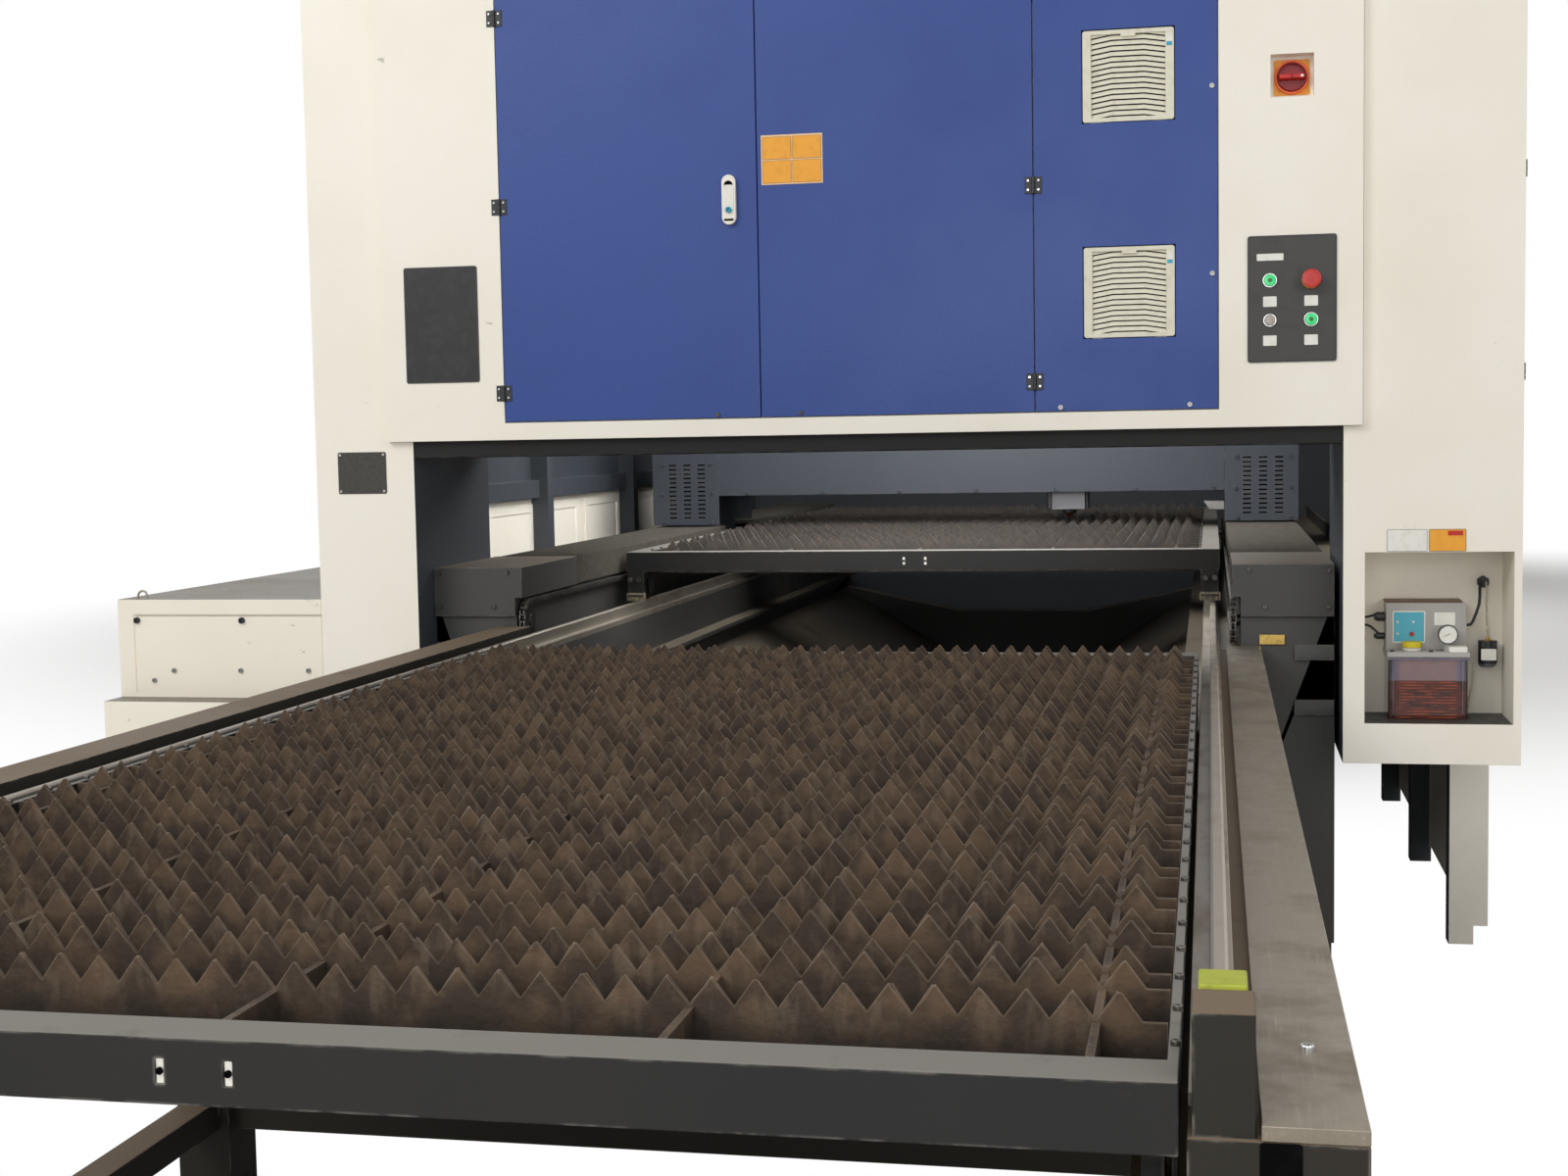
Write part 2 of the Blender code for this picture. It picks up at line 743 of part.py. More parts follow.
def bed_frame():
    side = bed_side()
    sides = gathered([side, mirrored(side)])
    reach = BEAM_INNER + OVERRUN
    low = BED_BOTTOM + WELD_STEP
    middle_y = (BED_FRONT + BED_REAR - BED_CROSS) / 2
    cross = span_mesh((-reach, reach), (middle_y, middle_y + BED_CROSS), (low, low + BED_CROSS))
    chutes = gathered([chute_plate(1), chute_plate(-1)])
    fittings = bed_fittings()
    both = fittings + [mirrored(mesh) for mesh in fittings]
    ends = []
    for y in (BED_FRONT + WELD_STEP, BED_REAR - WELD_STEP - BED_CROSS):
        ends.append(
            outline_mesh(
                [
                    (-reach, CHUTE_TOP),
                    (-reach, low),
                    (reach, low),
                    (reach, CHUTE_TOP),
                    (CHUTE_MOUTH, CHUTE_TOP - BED_CROSS),
                    (-CHUTE_MOUTH, CHUTE_TOP - BED_CROSS),
                ],
                "Y",
                y,
                y + BED_CROSS,
            )
        )
    bore = round_mesh(
        (0.0, CHAIN_REAR, CHAIN_Z),
        DRIVE_SHAFT_RADIUS + GAP,
        2 * (BED_UPRIGHT + SHAFT_SEAT),
        "X",
    )
    whole = fused([sides, gathered(ends), cross, chutes, gathered(both), cable_tray()])
    piece("bed_frame", cut(whole, bore), "grey_paint")


def guides():
    """Linear guide rails on the bed, one at each side."""
    low = BED_TOP + GAP
    waist = GUIDE_WIDTH / 6
    half = GUIDE_WIDTH / 2
    both_sides(
        "y_guide",
        outline_mesh(
            [
                (GUIDE_X - half, low),
                (GUIDE_X + half, low),
                (GUIDE_X + half, low + GUIDE_HEIGHT / 3),
                (GUIDE_X + half - waist, low + GUIDE_HEIGHT / 2),
                (GUIDE_X + half, low + GUIDE_HEIGHT * 2 / 3),
                (GUIDE_X + half, low + GUIDE_HEIGHT),
                (GUIDE_X - half, low + GUIDE_HEIGHT),
                (GUIDE_X - half, low + GUIDE_HEIGHT * 2 / 3),
                (GUIDE_X - half + waist, low + GUIDE_HEIGHT / 2),
                (GUIDE_X - half, low + GUIDE_HEIGHT / 3),
            ],
            "Y",
            BED_FRONT + GUIDE_INSET,
            BED_REAR - END_PLATE - GUIDE_INSET,
        ),
        "bright_steel",
    )


def rail_covers():
    """The fixed sheet boxes over the front ends of the guides, each with its screwed end plate."""
    outside = span_mesh(
        (COVER_INNER, COVER_OUTER), (COVER_FRONT, COVER_REAR), (COVER_SKIRT_BOTTOM, COVER_TOP)
    )
    plate = span_mesh(
        (BED_UPRIGHT, COVER_OUTER),
        (COVER_FRONT, BED_FRONT - GAP),
        (COVER_PLATE_BOTTOM, COVER_SKIRT_BOTTOM + OVERRUN),
    )
    hollow = span_mesh(
        (COVER_INNER + SHEET, COVER_OUTER - SHEET),
        (BED_FRONT - GAP, COVER_REAR + OVERRUN),
        (COVER_SKIRT_BOTTOM - OVERRUN, COVER_TOP - SHEET),
    )
    both_sides("rail_cover", cut(fused([outside, plate]), hollow), "grey_paint")


def bellows_mesh(front, rear):
    """Pleated cover: rings that grow and shrink in turn, hollowed for the guide rail."""
    pleats = max(2, round((rear - front) / PLEAT_PITCH))
    shape = bmesh.new()
    rings = []
    for index in range(2 * pleats + 1):
        shrink = 0.0 if index % 2 else PLEAT_DEPTH
        left = COVER_INNER + shrink
        right = COVER_OUTER - shrink
        top = COVER_TOP - shrink
        y = front + (rear - front) * index / (2 * pleats)
        corners = ((left, COVER_SKIRT_BOTTOM), (right, COVER_SKIRT_BOTTOM), (right, top), (left, top))
        rings.append([shape.verts.new((x, y, z)) for x, z in corners])
    shape.faces.new(rings[0])
    shape.faces.new(list(reversed(rings[-1])))
    for ring, after in zip(rings, rings[1:]):
        for corner in range(4):
            follow = (corner + 1) % 4
            shape.faces.new((ring[corner], after[corner], after[follow], ring[follow]))
    wall = PLEAT_DEPTH + BELLOWS_WALL
    hollow = span_mesh(
        (COVER_INNER + wall, COVER_OUTER - wall),
        (front - OVERRUN, rear + OVERRUN),
        (COVER_SKIRT_BOTTOM - OVERRUN, COVER_TOP - wall),
    )
    return cut(finished(shape), hollow)


def bellows():
    both_sides(
        "bellows_front", bellows_mesh(COVER_REAR + GAP, SADDLE_FRONT - GAP), "bellows_fabric"
    )
    both_sides(
        "bellows_rear", bellows_mesh(SADDLE_REAR + GAP, BED_REAR - END_PLATE - GAP), "bellows_fabric"
    )


# Exchange platform
def exchange_platform():
    beam = outline_mesh(
        [
            (BEAM_INNER, BEAM_TOP - BEAM_HEIGHT),
            (BEAM_OUTER, BEAM_TOP - BEAM_HEIGHT),
            (BEAM_OUTER, BEAM_TOP),
            (BEAM_INNER, BEAM_TOP),
            (BEAM_INNER, TRACK_TOP),
            (TRACK_INNER, TRACK_TOP),
            (TRACK_INNER, TRACK_TOP - TRACK_THICK),
            (BEAM_INNER, TRACK_TOP - TRACK_THICK),
        ],
        "Y",
        PLATFORM_FRONT,
        PLATFORM_REAR,
    )
    beams = gathered([beam, mirrored(beam)])
    legs = []
    feet = []
    ties = []
    inset = (BEAM_OUTER - BEAM_INNER - LEG) / 2
    leg_x = (BEAM_INNER + inset, BEAM_OUTER - inset)
    first = PLATFORM_FRONT + LEG_INSET
    last = PLATFORM_REAR - LEG_INSET
    for y in spread(first, last, LEG_COUNT):
        for side in (1, -1):
            xs = sorted(side * value for value in leg_x)
            legs.append(span_mesh(xs, (y - LEG / 2, y + LEG / 2), (FOOT_HEIGHT, BEAM_TOP - BEAM_HEIGHT / 2)))
            feet.append(round_mesh((sum(xs) / 2, y, FOOT_HEIGHT), FOOT_RADIUS, 2 * FOOT_HEIGHT, sides=10))
        reach = leg_x[0] + LEG / 2
        for z in (TIE_Z, UPPER_TIE_Z):
            ties.append(span_mesh((-reach, reach), (y - TIE / 2, y + TIE / 2), (z, z + TIE)))
    runners = []
    middle = sum(leg_x) / 2
    for side in (1, -1):
        xs = sorted((side * middle - TIE / 2, side * middle + TIE / 2))
        runners.append(span_mesh(xs, (first, last), (TIE_Z + GROOVE, TIE_Z + TIE - GROOVE)))
    stop = span_mesh(
        (BEAM_INNER + GROOVE, STOP_OUTER - GROOVE),
        (PLATFORM_FRONT + GROOVE, PLATFORM_FRONT + STOP_LENGTH),
        (BEAM_TOP - OVERRUN, STOP_TOP),
    )
    stops = gathered([stop, mirrored(stop)])
    piece(
        "exchange_platform",
        fused([beams, gathered(legs), gathered(feet), gathered(ties), gathered(runners), stops]),
        "grey_paint",
    )
    both_sides(
        "platform_plate",
        span_mesh(
            (STOP_OUTER, BEAM_OUTER),
            (PLATFORM_FRONT, PLATFORM_REAR),
            (BEAM_TOP + GAP, BEAM_TOP + GAP + SIDE_PLATE_THICK),
        ),
        "worn_plate",
    )


def pallet_rails():
    """A flat strip with the polished running bar on it, from the stop block to the bed's rear."""
    low = BEAM_TOP + GAP
    strip_top = low + STRIP_THICK
    left = RAIL_X - RAIL_WIDTH / 2
    right = RAIL_X + RAIL_WIDTH / 2
    both_sides(
        "pallet_rail",
        outline_mesh(
            [
                (BEAM_INNER, low),
                (STRIP_OUTER, low),
                (STRIP_OUTER, strip_top),
                (right, strip_top),
                (right, RAIL_TOP - RAIL_CHAMFER),
                (right - RAIL_CHAMFER, RAIL_TOP),
                (left + RAIL_CHAMFER, RAIL_TOP),
                (left, RAIL_TOP - RAIL_CHAMFER),
                (left, strip_top),
                (BEAM_INNER, strip_top),
            ],
            "Y",
            PLATFORM_FRONT + STOP_LENGTH + GAP,
            RAIL_REAR,
        ),
        "bright_steel",
    )
    front = PLATFORM_FRONT + STOP_LENGTH + GAP
    both_sides(
        "bumper",
        round_mesh(
            ((BEAM_INNER + STOP_OUTER) / 2, front + BUMPER_LENGTH / 2, BUMPER_Z),
            BUMPER_RADIUS,
            BUMPER_LENGTH,
            "Y",
        ),
        "bumper_rubber",
        rounded=True,
    )


# Pallets
def slat_mesh(y, tip):
    """One sawtooth slat, standing across the pallet."""
    half = TOOTH_COUNT * TOOTH_PITCH / 2
    valley = tip - TOOTH_HEIGHT
    shoulder = valley - END_FLANK * TOOTH_HEIGHT / (TOOTH_PITCH / 2)
    points = [
        (-SLAT_HALF, shoulder),
        (-SLAT_HALF, tip - SLAT_HEIGHT),
        (SLAT_HALF, tip - SLAT_HEIGHT),
        (SLAT_HALF, shoulder),
        (half + END_FLANK, shoulder),
    ]
    for index in range(TOOTH_COUNT):
        points.append((half - (index + 0.5) * TOOTH_PITCH, tip))
        if index < TOOTH_COUNT - 1:
            points.append((half - (index + 1) * TOOTH_PITCH, valley))
    points.append((-half - END_FLANK, shoulder))
    return outline_mesh(points, "Y", y, y + SLAT_THICK)


def slat_grid(front, top, rows):
    """All slats of a pallet, held upright by long ribs."""
    tip = top + TIP_ABOVE_FRAME
    last = front + PALLET_LENGTH - FIRST_SLAT - SLAT_THICK
    slats = [slat_mesh(y, tip) for y in spread(front + FIRST_SLAT, last, rows)]
    high = tip - TOOTH_HEIGHT - RIB_DROP
    ribs = []
    for x in sorted({side * offset for offset in RIB_OFFSETS for side in (1, -1)}):
        ribs.append(
            span_mesh(
                (x - RIB_THICK / 2, x + RIB_THICK / 2),
                (front + PALLET_TUBE + GAP, front + PALLET_LENGTH - PALLET_TUBE - GAP),
                (high - RIB_HEIGHT, high),
            )
        )
    return fused([gathered(slats), gathered(ribs)])


def wheel_set(front, wheel_z, frame_bottom, plate_x, wheel_x):
    """Wheels with their axles and bracket plates, at three places along the right side."""
    found = []
    first = front + BRACKET_INSET
    last = front + PALLET_LENGTH - BRACKET_INSET
    middle = (wheel_x[0] + wheel_x[1]) / 2
    reach = max(plate_x[1], wheel_x[1]) - min(plate_x[0], wheel_x[0])
    centre = (max(plate_x[1], wheel_x[1]) + min(plate_x[0], wheel_x[0])) / 2
    for y in spread(first, last, LEG_COUNT):
        plate = outline_mesh(
            [
                (y - BRACKET_LENGTH / 2, frame_bottom + OVERRUN),
                (y - BRACKET_LENGTH / 4, wheel_z - AXLE_RADIUS * 2),
                (y + BRACKET_LENGTH / 4, wheel_z - AXLE_RADIUS * 2),
                (y + BRACKET_LENGTH / 2, frame_bottom + OVERRUN),
            ],
            "X",
            plate_x[0] + WELD_STEP,
            plate_x[1] - WELD_STEP,
        )
        axle = round_mesh((centre, y, wheel_z), AXLE_RADIUS, reach - 3 * WELD_STEP, "X", sides=8)
        wheel = round_mesh((middle, y, wheel_z), WHEEL_RADIUS, wheel_x[1] - wheel_x[0], "X", sides=16)
        found.append(fused([plate, axle, wheel]))
    return gathered(found)


def pallet_frame(front, half, top, side_bar, wheels):
    """Front and rear tubes, side members, two slots in the front tube, and the wheels."""
    rear = front + PALLET_LENGTH
    bottom = top - PALLET_TUBE
    ends = gathered(
        [
            span_mesh((-half, half), (front, front + PALLET_TUBE), (bottom, top)),
            span_mesh((-half, half), (rear - PALLET_TUBE, rear), (bottom, top)),
        ]
    )
    bar = span_mesh(
        (half - side_bar, half),
        (front + PALLET_TUBE / 2, rear - PALLET_TUBE / 2),
        (bottom, top),
    )
    slots = []
    for side in (1, -1):
        x = side * SLOT_OFFSET
        slots.append(
            span_mesh(
                (x - SLOT_WIDTH / 2, x + SLOT_WIDTH / 2),
                (front - OVERRUN, front + SLOT_DEPTH),
                ((bottom + top - SLOT_HEIGHT) / 2, (bottom + top + SLOT_HEIGHT) / 2),
            )
        )
    frame = fused([ends, gathered([bar, mirrored(bar)]), gathered([wheels, mirrored(wheels)])])
    return cut(frame, gathered(slots))


def scraper(front, bottom):
    """Folded bracket at a corner of the upper pallet, which sweeps the rail."""
    outer = UPPER_PALLET_HALF - GROOVE
    return outline_mesh(
        [
            (front, bottom + OVERRUN),
            (front, bottom - SCRAPER_HEIGHT + SCRAPER_THICK),
            (front - SCRAPER_THICK, bottom - SCRAPER_HEIGHT + SCRAPER_THICK),
            (front - SCRAPER_THICK, bottom - SCRAPER_HEIGHT),
            (front + SCRAPER_THICK, bottom - SCRAPER_HEIGHT),
            (front + SCRAPER_THICK, bottom + OVERRUN),
        ],
        "X",
        outer - SCRAPER_WIDTH,
        outer,
    )


def pallets():
    lower = carrier("lower_pallet_slide", (0.0, LOWER_PALLET_FRONT, TRACK_TOP))
    upper = carrier("upper_pallet_slide", (0.0, UPPER_PALLET_FRONT, RAIL_TOP))
    lower_plate = (LOWER_PALLET_HALF - BRACKET_THICK, LOWER_PALLET_HALF)
    lower_wheel_outer = lower_plate[0] - RUN_GAP
    lower_wheels = wheel_set(
        LOWER_PALLET_FRONT,
        TRACK_TOP + GAP + WHEEL_RADIUS,
        LOWER_PALLET_TOP - PALLET_TUBE,
        lower_plate,
        (lower_wheel_outer - WHEEL_WIDTH, lower_wheel_outer),
    )
    piece(
        "lower_pallet_frame",
        pallet_frame(
            LOWER_PALLET_FRONT, LOWER_PALLET_HALF, LOWER_PALLET_TOP, LOWER_SIDE_BAR, lower_wheels
        ),
        "grey_paint",
        lower,
    )
    piece(
        "lower_pallet_slats",
        slat_grid(LOWER_PALLET_FRONT, LOWER_PALLET_TOP, LOWER_SLAT_ROWS),
        "slat_steel",
        lower,
    )
    wheel_x = (RAIL_X - WHEEL_WIDTH / 2, RAIL_X + WHEEL_WIDTH / 2)
    upper_plate = (wheel_x[0] - RUN_GAP - BRACKET_THICK, wheel_x[0] - RUN_GAP)
    upper_bottom = UPPER_PALLET_TOP - PALLET_TUBE
    upper_wheels = wheel_set(
        UPPER_PALLET_FRONT,
        RAIL_TOP + GAP + WHEEL_RADIUS,
        upper_bottom,
        upper_plate,
        wheel_x,
    )
    frame = pallet_frame(
        UPPER_PALLET_FRONT, UPPER_PALLET_HALF, UPPER_PALLET_TOP, PALLET_TUBE, upper_wheels
    )
    sweep = scraper(UPPER_PALLET_FRONT, upper_bottom)
    piece(
        "upper_pallet_frame",
        fused([frame, gathered([sweep, mirrored(sweep)])]),
        "grey_paint",
        upper,
    )
    piece(
        "upper_pallet_slats",
        slat_grid(UPPER_PALLET_FRONT, UPPER_PALLET_TOP, UPPER_SLAT_ROWS),
        "slat_steel",
        upper,
    )


# Pallet drive
def chain_loop(offset):
    """The chain's line at a distance outside the sprocket's rim, as (y, z) points."""
    radius = SPROCKET_RADIUS + offset
    front = loop_points((CHAIN_FRONT, CHAIN_Z), radius, math.pi / 2, math.pi * 3 / 2, CHAIN_STEPS)
    rear = loop_points((CHAIN_REAR, CHAIN_Z), radius, -math.pi / 2, math.pi / 2, CHAIN_STEPS)
    return front + rear


def drive():
    """Chain loops at both sides, their front idlers, and the rear shaft with its two sprockets."""
    chain_x = (CHAIN_INNER, CHAIN_INNER + CHAIN_WIDTH)
    band = cut(
        outline_mesh(chain_loop(CHAIN_THICK), "X", *chain_x),
        outline_mesh(chain_loop(0.0), "X", chain_x[0] - OVERRUN, chain_x[1] + OVERRUN),
    )
    idler = round_mesh(
        (sum(chain_x) / 2, CHAIN_FRONT, CHAIN_Z),
        SPROCKET_RADIUS + CHAIN_THICK / 2,
        CHAIN_WIDTH / 2,
        "X",
        sides=16,
    )
    axle_low = chain_x[0] + CHAIN_WIDTH / 4
    axle_high = BED_UPRIGHT - GAP
    axle = round_mesh(
        ((axle_low + axle_high) / 2, CHAIN_FRONT, CHAIN_Z),
        DRIVE_SHAFT_RADIUS,
        axle_high - axle_low,
        "X",
        sides=12,
    )
    both_sides("drive_chain", fused([band, idler, axle]), "dark_steel")
    spin = carrier("exchange_shaft_axis", (0.0, CHAIN_REAR, CHAIN_Z))
    shaft = round_mesh(
        (0.0, CHAIN_REAR, CHAIN_Z),
        DRIVE_SHAFT_RADIUS,
        2 * (BED_UPRIGHT + SHAFT_SEAT - GAP),
        "X",
        sides=16,
    )
    disc = round_mesh(
        (sum(chain_x) / 2, CHAIN_REAR, CHAIN_Z),
        SPROCKET_RADIUS - RUN_GAP,
        CHAIN_WIDTH / 2,
        "X",
        sides=20,
    )
    piece("exchange_shaft", fused([shaft, gathered([disc, mirrored(disc)])]), "dark_steel", spin, True)


# Enclosure
def column(outer, inner, housing):
    """A hollow sheet column, narrower beside the housing and open at its lower end."""
    inward = 1.0 if inner > outer else -1.0
    lap = housing - inward * GAP
    top = PORTAL_BOTTOM - GAP
    body = outline_mesh(
        [
            (outer, COLUMN_BOTTOM),
            (inner, COLUMN_BOTTOM),
            (inner, top),
            (lap, top),
            (lap, HEIGHT),
            (outer, HEIGHT),
        ],
        "Y",
        FRONT_Y,
        FRONT_Y + COLUMN_DEPTH,
    )
    wall = inward * SHEET
    hollow = outline_mesh(
        [
            (outer + wall, COLUMN_BOTTOM - OVERRUN),
            (inner - wall, COLUMN_BOTTOM - OVERRUN),
            (inner - wall, top - SHEET),
            (lap - wall, top - SHEET),
            (lap - wall, HEIGHT - SHEET),
            (outer + wall, HEIGHT - SHEET),
        ],
        "Y",
        FRONT_Y + SHEET,
        FRONT_Y + COLUMN_DEPTH - SHEET,
    )
    return cut(body, hollow)


def left_column():
    piece("left_column", column(LEFT_EDGE, OPENING_LEFT, PORTAL_LEFT), "white_paint")


def right_column():
    """The right column with its oil recess, the rabbet of its side door and that door's hinge leaves."""
    recess_box = span_mesh(
        (RECESS_LEFT - SHEET, RIGHT_EDGE - GAP),
        (FRONT_Y + GAP, FRONT_Y + RECESS_DEPTH + SHEET),
        (RECESS_BOTTOM - SHEET, RECESS_TOP + SHEET),
    )
    recess = span_mesh(
        (RECESS_LEFT, RECESS_RIGHT),
        (FRONT_Y - OVERRUN, FRONT_Y + RECESS_DEPTH),
        (RECESS_BOTTOM, RECESS_TOP),
    )
    rear = SIDE_DOOR_FRONT + SIDE_DOOR_WIDTH
    frame_box = span_mesh(
        (RIGHT_EDGE - SIDE_FRAME, RIGHT_EDGE - GAP),
        (FRONT_Y + GAP, rear + SIDE_FRAME / 2),
        (SIDE_DOOR_BOTTOM - SIDE_FRAME / 2, SIDE_DOOR_TOP + SIDE_FRAME / 2),
    )
    frame = span_mesh(
        (RIGHT_EDGE - DOOR_THICK, RIGHT_EDGE + OVERRUN),
        (SIDE_DOOR_FRONT, rear),
        (SIDE_DOOR_BOTTOM, SIDE_DOOR_TOP),
    )
    way = span_mesh(
        (RIGHT_EDGE - SIDE_FRAME - OVERRUN, RIGHT_EDGE + OVERRUN),
        (SIDE_DOOR_FRONT + DOOR_STOP, rear - DOOR_STOP),
        (SIDE_DOOR_BOTTOM + DOOR_STOP, SIDE_DOOR_TOP - DOOR_STOP),
    )
    leaves = [
        hinge_half((RIGHT_EDGE, SIDE_DOOR_FRONT), (0.0, -1.0), (1.0, 0.0), z, fixed=True)
        for z in HINGE_HEIGHTS
    ]
    shell = fused([column(RIGHT_EDGE, OPENING_RIGHT, PORTAL_RIGHT), recess_box, frame_box])
    piece("right_column", fused([cut(shell, recess, frame, way), gathered(leaves)]), "white_paint")


def hinge_half(corner, along, outward, z, fixed):
    """One half of a hinge: a leaf on a face beside its corner, and its share of the knuckle.

    The fixed half has the two end knuckles, and the moving half has the middle one.
    """
    half = HINGE_SIZE / 2
    third = HINGE_SIZE / 3
    pin = [corner[i] + outward[i] * PIN_STANDOFF for i in range(2)]
    near = [corner[i] + along[i] * 2 * GAP - outward[i] * 3 * GAP for i in range(2)]
    far = [corner[i] + along[i] * half + outward[i] * HINGE_LEAF for i in range(2)]
    leaf = span_mesh(sorted((near[0], far[0])), sorted((near[1], far[1])), (z - half, z + half))
    own = (z - third, z + third) if fixed else (z,)
    other = (z,) if fixed else (z - third, z + third)
    room = bore_radius(HINGE_PIN_RADIUS, HINGE_SIDES)
    for place in other:
        leaf = cut(leaf, round_mesh((*pin, place), room, third + 2 * GAP, sides=HINGE_SIDES))
    knuckles = [
        round_mesh((*pin, place), HINGE_PIN_RADIUS, third - GAP, sides=HINGE_SIDES) for place in own
    ]
    return fused([leaf] + knuckles)


def cross_tube():
    piece(
        "cross_tube",
        span_mesh(
            (OPENING_LEFT + GAP, OPENING_RIGHT - GAP),
            (FRONT_Y, FRONT_Y + CROSS_TUBE_DEPTH),
            (PORTAL_BOTTOM - GAP - CROSS_TUBE, PORTAL_BOTTOM - GAP),
        ),
        "grey_paint",
    )


def portal_housing():
    """The hollow white housing over the opening: a bay for the two doors and one for the fan panel."""
    rear = FRONT_Y + COLUMN_DEPTH
    body = span_mesh((PORTAL_LEFT, PORTAL_RIGHT), (PORTAL_FRONT, rear), (PORTAL_BOTTOM, HEIGHT))
    hollow = span_mesh(
        (PORTAL_LEFT + SHEET, PORTAL_RIGHT - SHEET),
        (PORTAL_FRONT + BAY_FRAME, rear - SHEET),
        (PORTAL_BOTTOM + SHEET, HEIGHT - SHEET),
    )
    inset = span_mesh(
        (BAY_LEFT, BAY_RIGHT), (PORTAL_FRONT - OVERRUN, PORTAL_FRONT + DOOR_THICK), (BAY_BOTTOM, BAY_TOP)
    )
    ways = []
    for low, high in ((BAY_LEFT, RIGHT_SEAM), (RIGHT_SEAM, BAY_RIGHT)):
        ways.append(
            span_mesh(
                (low + DOOR_STOP, high - DOOR_STOP),
                (PORTAL_FRONT, PORTAL_FRONT + BAY_FRAME + OVERRUN),
                (BAY_BOTTOM + DOOR_STOP, BAY_TOP - DOOR_STOP),
            )
        )
    ways.append(
        span_mesh(
            (PANEL_LEFT + DOOR_STOP, PANEL_RIGHT - DOOR_STOP),
            (PORTAL_FRONT - OVERRUN, PORTAL_FRONT + BAY_FRAME + OVERRUN),
            (PANEL_BOTTOM + DOOR_STOP, PANEL_TOP - DOOR_STOP),
        )
    )
    half = SWITCH_RECESS / 2
    floor_y = PORTAL_FRONT + SWITCH_RECESS_DEPTH
    switch_box = span_mesh(
        (SWITCH_X - half - SHEET, SWITCH_X + half + SHEET),
        (PORTAL_FRONT + BAY_FRAME / 2, floor_y + SHEET),
        (SWITCH_Z - half - SHEET, SWITCH_Z + half + SHEET),
    )
    switch = span_mesh(
        (SWITCH_X - half, SWITCH_X + half),
        (PORTAL_FRONT - OVERRUN, floor_y),
        (SWITCH_Z - half, SWITCH_Z + half),
    )
    spindle = round_mesh(
        (SWITCH_X, floor_y, SWITCH_Z),
        bore_radius(SWITCH_SPINDLE_RADIUS, SPINDLE_SIDES),
        SWITCH_RECESS_DEPTH,
        "Y",
        sides=SPINDLE_SIDES,
    )
    leaves = [
        hinge_half((BAY_LEFT, PORTAL_FRONT), (-1.0, 0.0), (0.0, -1.0), z, fixed=True)
        for z in HINGE_HEIGHTS
    ]
    shell = fused([cut(body, hollow), switch_box])
    shell = cut(shell, inset, gathered(ways), switch, spindle)
    piece("portal_housing", fused([shell, gathered(leaves)]), "white_paint")


def equipment_plate():
    """The cabinet's back plate with drives, breakers and wiring ducts."""
    left = BAY_LEFT + PLATE_INSET
    right = RIGHT_SEAM - PLATE_INSET
    low = BAY_BOTTOM + PLATE_INSET
    high = BAY_TOP - PLATE_INSET
    back = FRONT_Y + COLUMN_DEPTH - SHEET - GAP
    face = back - PLATE_THICK
    fitted = []
    middle = (low + high) / 2
    drive_low = middle + (high - middle) * DRIVE_FOOT_SHARE
    drive_high = high - DUCT_HEIGHT * 2
    for x in spread(left + DRIVE_WIDTH, right - DRIVE_WIDTH, DRIVE_COUNT):
        fitted.append(
            span_mesh(
                (x - DRIVE_WIDTH / 2, x + DRIVE_WIDTH / 2),
                (face - DRIVE_DEPTH, face + PLATE_THICK / 2),
                (drive_low, drive_high),
            )
        )
    breaker_z = middle - BREAKER_HEIGHT
    for x in spread(left + BREAKER_WIDTH, right - BREAKER_WIDTH, BREAKER_COUNT):
        fitted.append(
            span_mesh(
                (x - BREAKER_WIDTH / 2, x + BREAKER_WIDTH / 2),
                (face - BREAKER_DEPTH, face + PLATE_THICK / 2),
                (breaker_z - BREAKER_HEIGHT / 2, breaker_z + BREAKER_HEIGHT / 2),
            )
        )
    for z in (high - DUCT_HEIGHT, middle, low + DUCT_HEIGHT):
        fitted.append(
            span_mesh(
                (left + DUCT_HEIGHT / 2, right - DUCT_HEIGHT / 2),
                (face - DUCT_DEPTH, face + PLATE_THICK / 2),
                (z - DUCT_HEIGHT / 2, z + DUCT_HEIGHT / 2),
            )
        )
    plate = span_mesh((left, right), (face, back), (low, high))
    piece("equipment_plate", fused([plate, gathered(fitted)]), "pump_grey")


def door_pan(low_x, high_x):
    """A folded door: a skin with a flange all round, open at the back."""
    low_z = BAY_BOTTOM + RUN_GAP
    high_z = BAY_TOP - RUN_GAP
    rear = PORTAL_FRONT + DOOR_THICK - GAP
    outside = span_mesh((low_x, high_x), (PORTAL_FRONT, rear), (low_z, high_z))
    hollow = span_mesh(
        (low_x + DOOR_FLANGE, high_x - DOOR_FLANGE),
        (PORTAL_FRONT + DOOR_SKIN, rear + OVERRUN),
        (low_z + DOOR_FLANGE, high_z - DOOR_FLANGE),
    )
    return cut(outside, hollow)


